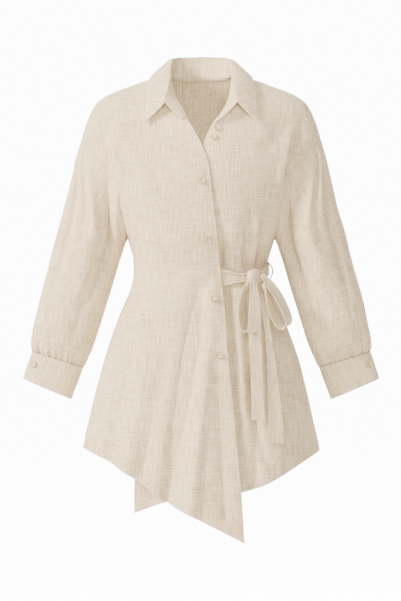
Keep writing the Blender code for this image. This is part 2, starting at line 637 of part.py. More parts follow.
def collar_seam(share, side):
    # The neck edge that the stand is sewn to, from the centre back (0) to its end (1)
    panel = right_front if side < 0 else left_front
    stand_end = right_stand_end if side < 0 else left_stand_end
    back_x = neck_half_width * np.sin(np.clip(share / shoulder_share, 0, 1) * math.pi / 2)
    # across the back panel, 0.5 is its middle
    half_width = upper_body[0][1]
    start = oval_angle(upper_body[0][4] / half_width)
    angle = oval_angle(back_x / half_width)
    across = (angle - start) / (math.pi - 2 * start)
    across = across if side < 0 else 1 - across
    back_points = built_edge(back, across, 0.0)
    level = stand_end * np.clip((share - shoulder_share) / (1 - shoulder_share), 0, 1) ** 1.3
    down = np.arccos((1 - level) ** (shoulder_power / 2)) * 2 / math.pi
    front_points = built_edge(panel, 1.0, down)
    return np.where((share < shoulder_share)[..., None], back_points, front_points)


def collar_roll(share, side):
    stand_end = right_stand_end if side < 0 else left_stand_end
    longer = (stand_end - right_stand_end) * np.clip((share - collar_apex) / (1 - collar_apex), 0, 1)
    x = smooth_read(roll_line, 1, share) - longer * 0.45
    y = smooth_read(roll_line, 2, share)
    z = smooth_read(roll_line, 3, share) - longer * 0.36
    return np.stack([x * side, y, z], -1)


def stand_point(across, up):
    # across runs from -1 at the right front's end to 1 at the left front's end
    share = np.abs(across)
    side = np.where(across < 0, -1.0, 1.0)
    seam = np.where((across < 0)[..., None], collar_seam(share, -1), collar_seam(share, 1))
    roll = np.where((across < 0)[..., None], collar_roll(share, -1), collar_roll(share, 1))
    toward = roll - seam
    length = np.linalg.norm(toward, axis=-1, keepdims=True)
    toward = toward / length
    turned = ease((share - shoulder_share + 0.06) / 0.16)[..., None]
    outward = np.stack([side * 0.25, -np.ones_like(share), 0.35 * np.ones_like(share)], -1)
    outward /= np.linalg.norm(outward, axis=-1, keepdims=True)
    start = seam + toward * collar_start_lift + outward * collar_on_front * turned
    start = start + np.array([0, 0, 0.0008]) * turned * (1 - turned) * 4
    up = up[..., None]
    point = start + (roll - start) * up
    # The strip bows a little towards the neck side before it turns over
    bow = 0.0015 * np.sin(np.pi * up) * turned
    return point + outward * bow


def leaf_point(across, out):
    share = np.abs(across) * collar_apex
    side = np.where(across < 0, -1.0, 1.0)
    seam = np.where((across < 0)[..., None], collar_seam(share, -1), collar_seam(share, 1))
    roll = np.where((across < 0)[..., None], collar_roll(share, -1), collar_roll(share, 1))
    edge = np.stack([smooth_read(leaf_edge, 1, share) * side, smooth_read(leaf_edge, 2, share),
                     smooth_read(leaf_edge, 3, share)], -1)
    upright = roll - seam
    upright /= np.linalg.norm(upright, axis=-1, keepdims=True)
    start = roll + upright * (double_wall + 5 * seam_gap)
    fall = edge - start
    reach = np.linalg.norm(fall, axis=-1, keepdims=True)
    aside = fall - upright * np.sum(fall * upright, axis=-1, keepdims=True)
    aside /= np.linalg.norm(aside, axis=-1, keepdims=True) + 1e-9
    start = start - aside * 0.0010
    control = start + aside * reach * 0.26 + upright * 0.0045
    out = out[..., None]
    return (1 - out) ** 2 * start + 2 * out * (1 - out) * control + out ** 2 * edge


def add_collar():
    stand_across = np.array([-1, -0.95, -0.9, -0.86, -0.8, -0.73, -0.66, -0.58, -0.5, -0.42, -0.32,
                             -0.2, -0.08])
    stand_across = np.concatenate([stand_across, -stand_across[::-1]])
    points, normals = surface_grid(stand_point, stand_across, (0, 0.5, 1))
    add_shell("collar_stand", points + normals * double_wall / 2, points - normals * double_wall / 2,
              linen_inside())
    leaf_across = np.array([-1, -0.93, -0.85, -0.76, -0.67, -0.59, -0.52, -0.45, -0.36, -0.24, -0.10])
    leaf_across = np.concatenate([leaf_across, -leaf_across[::-1]])
    points, normals = surface_grid(leaf_point, leaf_across, (0, 0.12, 0.3, 0.55, 1.0))
    # Its underside faces down, towards the shoulders
    normals = normals * np.sign(np.sum(normals[..., 2]))
    add_shell("collar_leaf", points, points - normals * double_wall, linen_inside())


def belt_point(turn, across):
    # turn goes round the waist: 0 at the right side seam, 0.25 at the front's middle,
    # 0.5 at the left side seam, 1 at the right side seam again
    z = smooth_read(belt_line, 1, turn) + smooth_read(belt_line, 2, turn) * across
    angle = turn * 2 * math.pi
    at_back = np.sin(angle) < 0
    half_width = smooth_read(lower_body, 1, z)
    depth = np.where(at_back, smooth_read(lower_body, 3, z), smooth_read(lower_body, 2, z))
    aside, forward = oval(half_width, depth, angle)
    x = -aside
    y = np.where(at_back, forward, -forward)
    out_x = signed_power(x / half_width, section_power - 1) / half_width
    out_y = signed_power(y / depth, section_power - 1) / depth
    length = np.hypot(out_x, out_y)
    # On the outside of the shirt, but inside the right front from the slit to its edge
    near = np.where(turn > 0.7, turn - 1, turn)
    inside = ease((near + 0.022) / 0.044) * ease((0.338 - near) / 0.045)
    push = belt_stand_off - belt_tuck * inside
    # Three strands pressed together where the belt comes out
    strands = bump((turn - 0.305) / 0.080)
    push = push + strands * 0.0008 * np.cos(across * 1.6 * math.pi)
    # It lifts off the shirt towards the knot, from both sides
    push = push + np.where(turn < 0.38, belt_front_lift * ease((turn - 0.335) / 0.020),
                           belt_side_lift * ease((0.452 - turn) / 0.058))
    return np.stack([x + out_x / length * push, y + out_y / length * push, z], -1)


def add_belt():
    front_turns = np.concatenate([np.linspace(0.030, 0.30, 12), np.linspace(0.314, 0.3554, 4)])
    points, normals = surface_grid(belt_point, front_turns, (-1, -0.33, 0.33, 1))
    normals *= np.sign(np.sum(normals[..., 1] * points[..., 1]))
    add_shell("belt_front", points, points - normals * belt_wall, linen_inside())

    def around_point(turn, across):
        # From the knot round the left side and the back, then in through the slit
        past = turn > 1
        return np.where(past[..., None], belt_point(turn - 1, across), belt_point(turn, across))

    around_turns = np.concatenate([np.linspace(0.3934, 0.50, 8), np.linspace(0.53, 0.95, 14),
                                   np.linspace(0.965, 1.027, 5)])
    points, normals = surface_grid(around_point, around_turns, (-1, 0, 1))
    outward = np.sum(normals[..., 0] * points[..., 0] + normals[..., 1] * points[..., 1])
    normals *= np.sign(outward)
    add_shell("belt_around", points, points - normals * belt_wall, linen_inside())


def ribbon_grid(rows, samples, across):
    # A ribbon along a smooth path with its own width direction at each point
    table = [(i,) + tuple(row) for i, row in enumerate(rows)]
    at = np.linspace(0, len(rows) - 1, samples)
    centre = np.stack([smooth_read(table, column, at) for column in (1, 2, 3)], -1)
    width = np.stack([smooth_read(table, column, at) for column in (4, 5, 6)], -1)
    along = np.gradient(centre, axis=0)
    normal = np.cross(along, width)
    normal /= np.linalg.norm(normal, axis=-1, keepdims=True)
    shares = np.linspace(-0.5, 0.5, across)
    points = centre[:, None, :] + width[:, None, :] * shares[None, :, None]
    return points, np.repeat(normal[:, None, :], across, axis=1)


def add_bow():
    for name, rows, samples in (("bow_loop_right", right_bow, 22), ("bow_loop_left", left_bow, 24)):
        points, normals = ribbon_grid(rows, samples, 3)
        half = belt_wall / 2
        add_shell(name, points + normals * half, points - normals * half, linen_inside())


def tail_grid(rows, samples):
    table = [(i,) + tuple(row) for i, row in enumerate(rows)]
    at = np.linspace(0, len(rows) - 1, samples)
    x = smooth_read(table, 1, at)
    z = smooth_read(table, 2, at)
    half_width = smooth_read(table, 3, at)
    stand_off = smooth_read(table, 4, at)
    shares = np.array([-1.0, 0.0, 1.0])
    grid_x = x[:, None] + half_width[:, None] * shares
    grid_z = z[:, None] + 0.0 * shares
    grid_y = front_y(x[:, None] + 0.0 * shares, grid_z) - stand_off[:, None]
    slope = (front_y(x + 0.004, z) - front_y(x - 0.004, z)) / 0.008
    grid_y = grid_y + np.clip(slope, -0.7, 0.9)[:, None] * half_width[:, None] * shares
    points = np.stack([grid_x, grid_y, grid_z], -1)
    along = np.gradient(points, axis=0)
    side = np.gradient(points, axis=1)
    normal = np.cross(along, side)
    normal /= np.linalg.norm(normal, axis=-1, keepdims=True)
    normal *= -np.sign(normal[..., 1:2])
    return points, normal


def add_tails():
    for name, rows, samples in (("tail_short", short_tail, 14), ("tail_long", long_tail, 16)):
        points, normals = tail_grid(rows, samples)
        add_shell(name, points, points - normals * belt_wall, linen_inside())


def add_knot():
    # A soft wrapped knot, drawn in round its middle where the belt's ends leave it
    knot = bmesh.new()
    bmesh.ops.create_uvsphere(knot, u_segments=16, v_segments=10, radius=1)
    x0, z0 = knot_centre
    y0 = float(front_y(x0 - 0.012, z0)) - 0.75 * knot_size[1] - 0.0032
    for vertex in knot.verts:
        place = vertex.co.copy()
        drawn = 1 - 0.12 * math.exp(-((place.x - 0.1) / 0.35) ** 2) * (1 - abs(place.z))
        squared = [math.copysign(abs(value) ** 0.82, value) for value in place]
        place = Vector((squared[0] * knot_size[0], squared[1] * knot_size[1] * drawn,
                        squared[2] * knot_size[2]))
        place = Matrix.Rotation(math.radians(-16), 3, "Y") @ place
        place = Matrix.Rotation(math.radians(knot_turn), 3, "Z") @ place
        vertex.co = place + Vector((x0, y0, z0))
    add_object("belt_knot", knot, linen_inside())


def lathe(profile, sides):
    # A closed turned body. The profile starts and ends on the axis
    body = bmesh.new()
    rings = []
    for radius, height in profile:
        if radius < 1e-6:
            rings.append([body.verts.new((0, 0, height))])
            continue
        ring = []
        for i in range(sides):
            angle = 2 * math.pi * i / sides
            ring.append(body.verts.new((radius * math.cos(angle), radius * math.sin(angle), height)))
        rings.append(ring)
    for low, high in zip(rings, rings[1:]):
        for i in range(sides):
            k = (i + 1) % sides
            if len(low) == 1:
                body.faces.new((low[0], high[i], high[k]))
            elif len(high) == 1:
                body.faces.new((low[i], high[0], low[k]))
            else:
                body.faces.new((low[i], low[k], high[k], high[i]))
    return body


def add_button(name, place, normal):
    # Dished in the middle, with a rounded raised rim
    shares = ((0, 0), (0.72, 0), (0.96, 0.32), (1, 0.6), (0.93, 0.92), (0.82, 1), (0.66, 0.82),
              (0.55, 0.62), (0, 0.58))
    profile = [(across * button_radius, up * button_height) for across, up in shares]
    body = lathe(profile, button_sides)
    turn = Vector((0, 0, 1)).rotation_difference(Vector(normal)).to_matrix().to_4x4()
    bmesh.ops.transform(body, matrix=Matrix.Translation(Vector(place)) @ turn, verts=body.verts)
    return add_object(name, body, ivory(), smooth=False)


def seated_button(name, carrier, x, z):
    # Flat on the front of the piece that carries it, at a place of the front view
    place, normal, _, _ = built_surfaces[carrier].ray_cast(Vector((x, -1, z)), Vector((0, 1, 0)))
    add_button(name, place + normal * button_seat, normal)


def add_buttons():
    for i, (x, z) in enumerate(fastened_buttons):
        seated_button("front_button_%d" % (i + 1), "right_front", x, z)
    for i, (x, z) in enumerate(neck_buttons):
        seated_button("neck_button_%d" % (i + 1), "left_front", x, z)
    x, z = cuff_button
    seated_button("right_cuff_button", "right_cuff", -x, z)
    seated_button("left_cuff_button", "left_cuff", x, z)


def add_thread_loop():
    # A worked thread bar that holds the belt at the left side seam
    angle = math.radians(166)
    points = []
    for i in range(13):
        share = i / 12
        z = -0.4035 - 0.039 * share
        half_width = float(smooth_read(lower_body, 1, z))
        depth = float(smooth_read(lower_body, 2, z))
        aside, forward = oval(half_width, depth, np.array(angle))
        off = 0.0024 + 0.0062 * math.sin(math.pi * share) ** 0.6
        out = Vector((-float(aside), -float(forward) * 0.5, 0)).normalized()
        points.append(Vector((-float(aside), -float(forward), z)) + out * off)
    curve = bpy.data.curves.new("belt_thread_loop", "CURVE")
    curve.dimensions = "3D"
    curve.bevel_depth = thread_radius
    curve.bevel_resolution = 1
    curve.use_fill_caps = True
    spline = curve.splines.new("POLY")
    spline.points.add(len(points) - 1)
    for target, point in zip(spline.points, points):
        target.co = (*point, 1)
    curve.materials.append(thread())
    piece = bpy.data.objects.new("belt_thread_loop", curve)
    bpy.context.scene.collection.objects.link(piece)


def clear_scene():
    for item in list(bpy.data.objects):
        bpy.data.objects.remove(item, do_unlink=True)


def build():
    clear_scene()
    add_panel(right_front)
    add_panel(left_front)
    add_panel(back)
    sleeve_shares = (0, 0.07, 0.14, 0.21, 0.28, 0.36, 0.45, 0.54, 0.63, 0.71, 0.78, 0.84, 0.89,
                     0.94, 0.98, 1.0)
    for side, name in ((-1, "right"), (1, "left")):
        add_tube(name + "_sleeve", lambda u, v, side=side: sleeve_point(side, u, v), 30,
                 sleeve_shares, cloth_wall)
        add_tube(name + "_cuff", lambda u, v, side=side: cuff_point(side, u, v), 30, (0, 0.5, 1),
                 double_wall)
    add_collar()
    add_belt()
    add_knot()
    add_bow()
    add_tails()
    add_thread_loop()
    add_buttons()


build()
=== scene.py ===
# A belted wrap shirt in oatmeal linen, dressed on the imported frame. Metres, +Z up, front faces -Y.
import math

import bmesh
import bpy
import numpy as np
from mathutils import Matrix, Vector


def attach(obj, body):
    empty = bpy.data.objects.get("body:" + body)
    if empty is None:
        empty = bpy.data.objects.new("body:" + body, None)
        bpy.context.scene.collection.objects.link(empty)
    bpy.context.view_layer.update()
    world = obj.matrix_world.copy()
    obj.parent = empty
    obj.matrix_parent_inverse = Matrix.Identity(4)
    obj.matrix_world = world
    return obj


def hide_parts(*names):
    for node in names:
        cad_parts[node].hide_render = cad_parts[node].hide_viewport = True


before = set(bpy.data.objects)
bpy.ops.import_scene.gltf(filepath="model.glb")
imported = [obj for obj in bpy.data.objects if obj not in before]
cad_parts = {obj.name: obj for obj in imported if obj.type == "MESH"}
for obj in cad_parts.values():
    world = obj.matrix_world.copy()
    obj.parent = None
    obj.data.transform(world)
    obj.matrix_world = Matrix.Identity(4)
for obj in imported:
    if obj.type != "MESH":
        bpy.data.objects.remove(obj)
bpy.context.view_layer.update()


# Reading tables and shaping curves

def smoothRead(table, column, at):
    # a smooth curve through one column of a table, read at values of its first column
    table = sorted(table)
    knots = np.array([row[0] for row in table], float)
    values = np.array([row[column] for row in table], float)
    slopes = np.gradient(values, knots)
    at = np.clip(np.asarray(at, float), knots[0], knots[-1])
    low = np.clip(np.searchsorted(knots, at, side="right") - 1, 0, len(knots) - 2)
    span = knots[low + 1] - knots[low]
    part = (at - knots[low]) / span
    rest = 1 - part
    return (values[low] * (1 + 2 * part) * rest ** 2 + values[low + 1] * (1 + 2 * rest) * part ** 2
            + span * (slopes[low] * part * rest ** 2 - slopes[low + 1] * rest * part ** 2))


def ease(value):
    value = np.clip(value, 0, 1)
    return value * value * (3 - 2 * value)


def bump(value):
    return ease(1 - np.abs(value))  # 1 in the middle, falling softly to 0 at -1 and 1


def bell(value):
    return np.exp(-value ** 2)


def ridges(at, rows):
    # rows: place, half width, height; a dent is under 0
    return sum(height * bell((at - place) / halfWidth) for place, halfWidth, height in rows)


def stitchDent(rim, look):
    # the dent along a line of stitches, rim metres in from the edge
    return ridges(rim, ((look["edgeStitch"], look["dentWidth"], -look["dentDepth"]),))


def valley(value):
    # a crease: as wide as a bell, but its bottom comes to a line
    return 0.5 * bell(value) + 0.5 * np.exp(0.2 - 2 * np.sqrt(value ** 2 + 0.01))


def signedPower(value, power):
    return np.sign(value) * np.abs(value) ** power


def unit(vectors):
    return vectors / (np.linalg.norm(vectors, axis=-1, keepdims=True) + 1e-12)


def readAll(table, at):
    # every column after the first, read at the same values
    return [smoothRead(table, column, at) for column in range(1, len(table[0]))]


def softNoise(across, down, size, seed):
    # smooth unevenness from -1 to 1, size metres from one swell to the next
    cells, far = 64, 1000.0
    table = np.random.default_rng(seed).uniform(-1, 1, (cells, cells))
    a, d = across / size + far, down / size + far
    a0, d0 = np.floor(a).astype(int), np.floor(d).astype(int)
    fa, fd = ease(a - a0), ease(d - d0)

    def row(below):
        return (table[a0 % cells, (d0 + below) % cells] * (1 - fa)
                + table[(a0 + 1) % cells, (d0 + below) % cells] * fa)

    return row(0) * (1 - fd) + row(1) * fd


def rumple(cut, rows, seed):
    # rows: stretch across and down, metres from one swell to the next, step of the seed, depth
    return sum(softNoise(cut[..., 0] * across, cut[..., 1] * down, size, seed + step) * depth
               for across, down, size, step, depth in rows)


def addObject(name, data):
    thing = bpy.data.objects.new(name, data)
    bpy.context.scene.collection.objects.link(thing)
    return thing


def bakedMesh(name, thing):
    # the mesh that an object's modifiers or curve give; the object itself goes
    mesh = bpy.data.meshes.new_from_object(thing.evaluated_get(bpy.context.evaluated_depsgraph_get()))
    mesh.name = name
    mesh.shade_smooth()
    bpy.data.objects.remove(thing)
    return mesh


def fromBmesh(name, shape):
    mesh = bpy.data.meshes.new(name)
    shape.to_mesh(mesh)
    shape.free()
    return addObject(name, mesh)


def joinFrame(piece, node=None):
    if node:
        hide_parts(node)
    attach(piece, "root")
    return piece


# Materials

linenLook = {
    "surface": {"Roughness": 0.88, "Sheen Weight": 0.08, "Sheen Roughness": 0.45,
                "Sheen Tint": (1, 0.96, 0.9, 1), "Specular IOR Level": 0.2},
    "light": (0.712, 0.592, 0.414), "dark": (0.41, 0.314, 0.194), "yarn": 0.00085,
    "slubLength": 0.046, "slubWidth": 0.0026, "fineLonger": 2, "fineNarrower": 2.6, "clouds": (9, 7, 1),
    "weft": 0.7, "fine": 0.6, "middle": 1.45, "contrast": 2.3,
    "weaveShade": 0.1, "cloudShade": 0.5, "baseShade": 0.3,
    "yarnHeight": 0.8, "weaveHeight": 0.35, "bump": {"Strength": 0.55, "Distance": 0.0003},
}
threadLook = {
    "surface": {"Roughness": 0.7, "Sheen Weight": 0.2}, "ribs": {"Scale": 900, "Distortion": 1.5},
    "bump": {"Strength": 0.4, "Distance": 0.0001},
}
ivoryLook = {
    "surface": {"Roughness": 0.3, "Subsurface Weight": 0.1, "Subsurface Radius": (0.004, 0.003, 0.002),
                "Coat Weight": 0.25},
    "layers": (90, 90, 420), "dark": (0.46, 0.34, 0.17), "light": (0.68, 0.54, 0.32), "ends": (0.3, 0.7),
    # painted shade at the rim: where it starts as a share of the radius, and its dark tone
    "rim": {"From Min": 0.8, "From Max": 1}, "rimShadeTone": (0.2, 0.13, 0.06, 1),
    "bump": {"Strength": 0.08, "Distance": 0.0002},
}


def setInputs(node, values):
    for name, value in values.items():
        node.inputs[name].default_value = value


def newMaterial(name, surface):
    material = bpy.data.materials.new(name)
    material.use_nodes = True
    shader = material.node_tree.nodes["Principled BSDF"]
    setInputs(shader, surface)
    return material, material.node_tree, shader


def addNode(tree, kind, **values):
    node = tree.nodes.new(kind)
    for name, value in values.items():
        setattr(node, name, value)
    return node


def mathNode(tree, operation, first, second=None):
    node = addNode(tree, "ShaderNodeMath", operation=operation)
    for socket, value in zip(node.inputs, (first, second)):
        if isinstance(value, (int, float)):
            socket.default_value = value
        elif value is not None:
            tree.links.new(value, socket)
    return node.outputs[0]


def stretchedNoise(tree, coordinates, scale, detail):
    # noise drawn out along the yarns, with a scale in swells per metre
    mapping = addNode(tree, "ShaderNodeMapping")
    setInputs(mapping, {"Scale": scale})
    noise = addNode(tree, "ShaderNodeTexNoise")
    setInputs(noise, {"Scale": 1, "Detail": detail, "Roughness": 0.6})
    tree.links.new(coordinates, mapping.inputs["Vector"])
    tree.links.new(mapping.outputs[0], noise.inputs["Vector"])
    return noise.outputs["Fac"]


def addRamp(tree, shade, dark, light, ends=(0, 1)):
    ramp = addNode(tree, "ShaderNodeValToRGB")
    for element, position, tone in zip(ramp.color_ramp.elements, ends, (dark, light)):
        element.position = position
        element.color = (*tone, 1)
    tree.links.new(shade, ramp.inputs[0])
    return ramp.outputs[0]


def addRelief(tree, height, bump, shader):
    relief = addNode(tree, "ShaderNodeBump")
    setInputs(relief, bump)
    tree.links.new(height, relief.inputs["Height"])
    tree.links.new(relief.outputs[0], shader.inputs["Normal"])


def linenMaterial(name, tint=1.0, crossing=1.0):
    # plain weave with thick and thin yarns both ways, on the cut's own coordinates in metres
    look = linenLook
    material, tree, shader = newMaterial(name, look["surface"])

    def times(first, second):
        return mathNode(tree, "MULTIPLY", first, second)

    def plus(first, second):
        return mathNode(tree, "ADD", first, second)

    flatCut = addNode(tree, "ShaderNodeUVMap", uv_map="cut").outputs[0]
    far, near = 1 / look["slubLength"], 1 / look["slubWidth"]
    warpSlub = stretchedNoise(tree, flatCut, (near, far, 1), 3)
    weftSlub = stretchedNoise(tree, flatCut, (far, near, 1), 3)
    far, near = far * look["fineLonger"], near * look["fineNarrower"]
    fineWarp = stretchedNoise(tree, flatCut, (near, far, 1), 2)
    fineWeft = stretchedNoise(tree, flatCut, (far, near, 1), 2)
    cloudy = stretchedNoise(tree, flatCut, look["clouds"], 4)

    # the plain weave itself: yarns over and under, as a chequer of soft humps
    split = addNode(tree, "ShaderNodeSeparateXYZ")
    tree.links.new(flatCut, split.inputs[0])
    turns = math.pi / look["yarn"]
    weave = times(*(mathNode(tree, "SINE", times(split.outputs[axis], turns)) for axis in (0, 1)))

    yarns = plus(plus(warpSlub, times(weftSlub, look["weft"])), times(plus(fineWarp, fineWeft), look["fine"]))
    shade = times(mathNode(tree, "SUBTRACT", yarns, look["middle"]), look["contrast"] * crossing)
    shade = plus(plus(shade, times(weave, look["weaveShade"])), times(cloudy, look["cloudShade"]))
    dark, light = ([value * tint for value in look[end]] for end in ("dark", "light"))
    tree.links.new(addRamp(tree, plus(shade, look["baseShade"]), dark, light), shader.inputs["Base Color"])
    height = plus(times(yarns, look["yarnHeight"]), times(weave, look["weaveHeight"]))
    addRelief(tree, height, look["bump"], shader)
    return material


def threadMaterial(name, dark, light):
    # twisted thread: fine slanting ribs over a slightly uneven tone
    material, tree, shader = newMaterial(name, threadLook["surface"])
    ribs = addNode(tree, "ShaderNodeTexWave", wave_type="BANDS", bands_direction="DIAGONAL")
    setInputs(ribs, threadLook["ribs"])
    tree.links.new(addNode(tree, "ShaderNodeTexCoord").outputs["Object"], ribs.inputs["Vector"])
    tree.links.new(addRamp(tree, ribs.outputs["Fac"], dark, light), shader.inputs["Base Color"])
    addRelief(tree, ribs.outputs["Fac"], threadLook["bump"], shader)
    return material


def ivoryMaterial():
    # cast ivory-coloured plastic with faint clouded layers, and painted shade round its rim that stands in for
    # the shadow under the button's edge
    look = ivoryLook
    material, tree, shader = newMaterial("ivory plastic", look["surface"])
    place = addNode(tree, "ShaderNodeTexCoord").outputs["Object"]
    layers = stretchedNoise(tree, place, look["layers"], 4)
    # the rim is painted darker as shade, for the shadow gap under the button's edge; the turn map holds the
    # radius as a share
    turned = addNode(tree, "ShaderNodeSeparateXYZ")
    tree.links.new(addNode(tree, "ShaderNodeUVMap", uv_map="turn").outputs[0], turned.inputs[0])
    rim = addNode(tree, "ShaderNodeMapRange", interpolation_type="SMOOTHSTEP")
    setInputs(rim, look["rim"])
    tree.links.new(turned.outputs[0], rim.inputs["Value"])
    rimShadeMix = addNode(tree, "ShaderNodeMix", data_type="RGBA")
    tree.links.new(rim.outputs[0], rimShadeMix.inputs["Factor"])
    tree.links.new(addRamp(tree, layers, look["dark"], look["light"], look["ends"]), rimShadeMix.inputs["A"])
    rimShadeMix.inputs["B"].default_value = look["rimShadeTone"]
    tree.links.new(rimShadeMix.outputs["Result"], shader.inputs["Base Color"])
    addRelief(tree, layers, look["bump"], shader)
    return material


linen = linenMaterial("linen")
beltLinen = linenMaterial("linen_belt", 1.0, 0.8)
doubleLinen = linenMaterial("linen_double", 1.02, 0.9)
thread = threadMaterial("sewing thread", (0.6, 0.52, 0.41), (0.76, 0.68, 0.57))
loopThread = threadMaterial("loop thread", (0.22, 0.18, 0.13), (0.34, 0.28, 0.21))
ivory = ivoryMaterial()
print("materials ready")


# Cloth walls

def gridNormals(points, outward):
    # unit normals of a grid of points; outward gives roughly the way out at each point
    along = np.gradient(points, axis=1)
    down = np.gradient(points, axis=0)
    normals = unit(np.cross(along, down))
    return normals * np.sign(np.sum(normals * outward))


def wrapNormals(points):
    # the same for a grid closed round a tube, whose last column repeats the first
    inner = points[:, :-1]
    along = np.roll(inner, -1, axis=1) - np.roll(inner, 1, axis=1)
    down = np.gradient(inner, axis=0)
    normals = unit(np.cross(along, down))
    normals *= np.sign(np.sum(normals * (inner - inner.mean(axis=1, keepdims=True))))
    return np.concatenate([normals, normals[:, :1]], axis=1)


def arcCut(points):
    # flat coordinates by running lengths along the rows and down the middle
    steps = np.linalg.norm(np.diff(points, axis=1), axis=-1)
    across = np.concatenate([np.zeros((len(points), 1)), np.cumsum(steps, axis=1)], axis=1)
    across = across - across[:, points.shape[1] // 2][:, None]
    middle = points[:, points.shape[1] // 2]
    falls = np.linalg.norm(np.diff(middle, axis=0), axis=-1)
    down = np.concatenate([[0], np.cumsum(falls)])
    return np.stack([across, -np.repeat(down[:, None], points.shape[1], axis=1)], -1)


def gridQuads(numbers):
    corners = numbers[:-1, :-1], numbers[1:, :-1], numbers[1:, 1:], numbers[:-1, 1:]
    return np.stack(corners, -1).reshape(-1, 4)


def clothMesh(name, vertices, faces, cut, faceCuts, material):
    mesh = bpy.data.meshes.new(name)
    mesh.from_pydata(vertices.tolist(), [], faces.tolist())
    layer = mesh.uv_layers.new(name="cut")
    layer.data.foreach_set("uv", cut.reshape(-1, 2)[faceCuts].astype(np.float32).ravel())
    mesh.shade_smooth()
    mesh.materials.append(material)
    return mesh


def addShell(name, outer, inner, cut, material, closed=False):
    # a closed cloth wall between two grids. Each rim gets a row of its own half way, eased outwards,
    # so an edge looks turned and not cut. A closed tube's last column repeats its first
    rimBulge, sharpAngle = 0.28, 75
    rows, columns = outer.shape[:2]
    used = columns - 1 if closed else columns
    vertices = [outer[:, :used].reshape(-1, 3), inner[:, :used].reshape(-1, 3)]
    faces, faceCuts = [], []
    index = np.arange(rows * used).reshape(rows, used)
    cutIndex = np.arange(rows * columns).reshape(rows, columns)
    wrap = np.concatenate([index, index[:, :1]], axis=1) if closed else index
    shift = rows * used

    def addStrips(a, b, ca, cb):
        # quads between two rows of vertex numbers
        faces.append(np.stack([a[:-1], a[1:], b[1:], b[:-1]], -1).reshape(-1, 4))
        faceCuts.append(np.stack([ca[:-1], ca[1:], cb[1:], cb[:-1]], -1).reshape(-1, 4))

    for i in range(rows - 1):
        addStrips(wrap[i], wrap[i + 1], cutIndex[i], cutIndex[i + 1])
        addStrips(wrap[i + 1] + shift, wrap[i] + shift, cutIndex[i + 1], cutIndex[i])
    count = 2 * shift
    edges = [(wrap[0], cutIndex[0], outer[1, :used] - outer[0, :used], index[0], 1),
             (wrap[-1], cutIndex[-1], outer[-2, :used] - outer[-1, :used], index[-1], -1)]
    if not closed:
        edges.append((wrap[:, 0], cutIndex[:, 0], outer[:, 1] - outer[:, 0], index[:, 0], -1))
        edges.append((wrap[:, -1], cutIndex[:, -1], outer[:, -2] - outer[:, -1], index[:, -1], 1))
    flat = np.concatenate(vertices)
    for ring, ringCut, inward, own, way in edges:
        a = flat[own]
        b = flat[own + shift]
        thickness = np.linalg.norm(a - b, axis=-1, keepdims=True)
        vertices.append((a + b) / 2 - unit(inward) * thickness * rimBulge)
        turned = np.arange(count, count + len(own))
        count += len(own)
        turned = np.concatenate([turned, turned[:1]]) if closed else turned
        first, last = (ring + shift, ring) if way > 0 else (ring, ring + shift)
        addStrips(first, turned, ringCut, ringCut)
        addStrips(turned, last, ringCut, ringCut)
    vertices = np.concatenate(vertices)
    faces = np.concatenate(faces)
    faceCuts = np.concatenate(faceCuts)
    corners = vertices[faces]
    volume = np.sum(np.cross(corners[:, 0], corners[:, 1]) * corners[:, 2])
    volume += np.sum(np.cross(corners[:, 0], corners[:, 2]) * corners[:, 3])
    if volume < 0:
        faces = faces[:, ::-1]
        faceCuts = faceCuts[:, ::-1]
    mesh = clothMesh(name, vertices, faces, cut, faceCuts, material)
    mesh.set_sharp_from_angle(angle=math.radians(sharpAngle))
    print("made", name)
    return addObject(name, mesh)


def addCloth(name, points, detail, wall, cut, material, outward=None, front=0.0):
    # lifts a grid by its detail and hangs the wall behind it, front of it before it. A tube has no outward
    def normalsOf(grid):
        return wrapNormals(grid) if outward is None else gridNormals(grid, outward)

    points = points + normalsOf(points) * detail[..., None]
    normals = normalsOf(points)
    behind = np.asarray(wall - front)[..., None]
    piece = addShell(name, points + normals * front, points - normals * behind, cut, material, outward is None)
    return piece, points, normals


def finishSheet(piece, node):
    joinFrame(piece, node)


def shareGrid(us, vs):
    v, u = np.meshgrid(vs, us, indexing="ij")
    return u, v


# The body: fronts and back

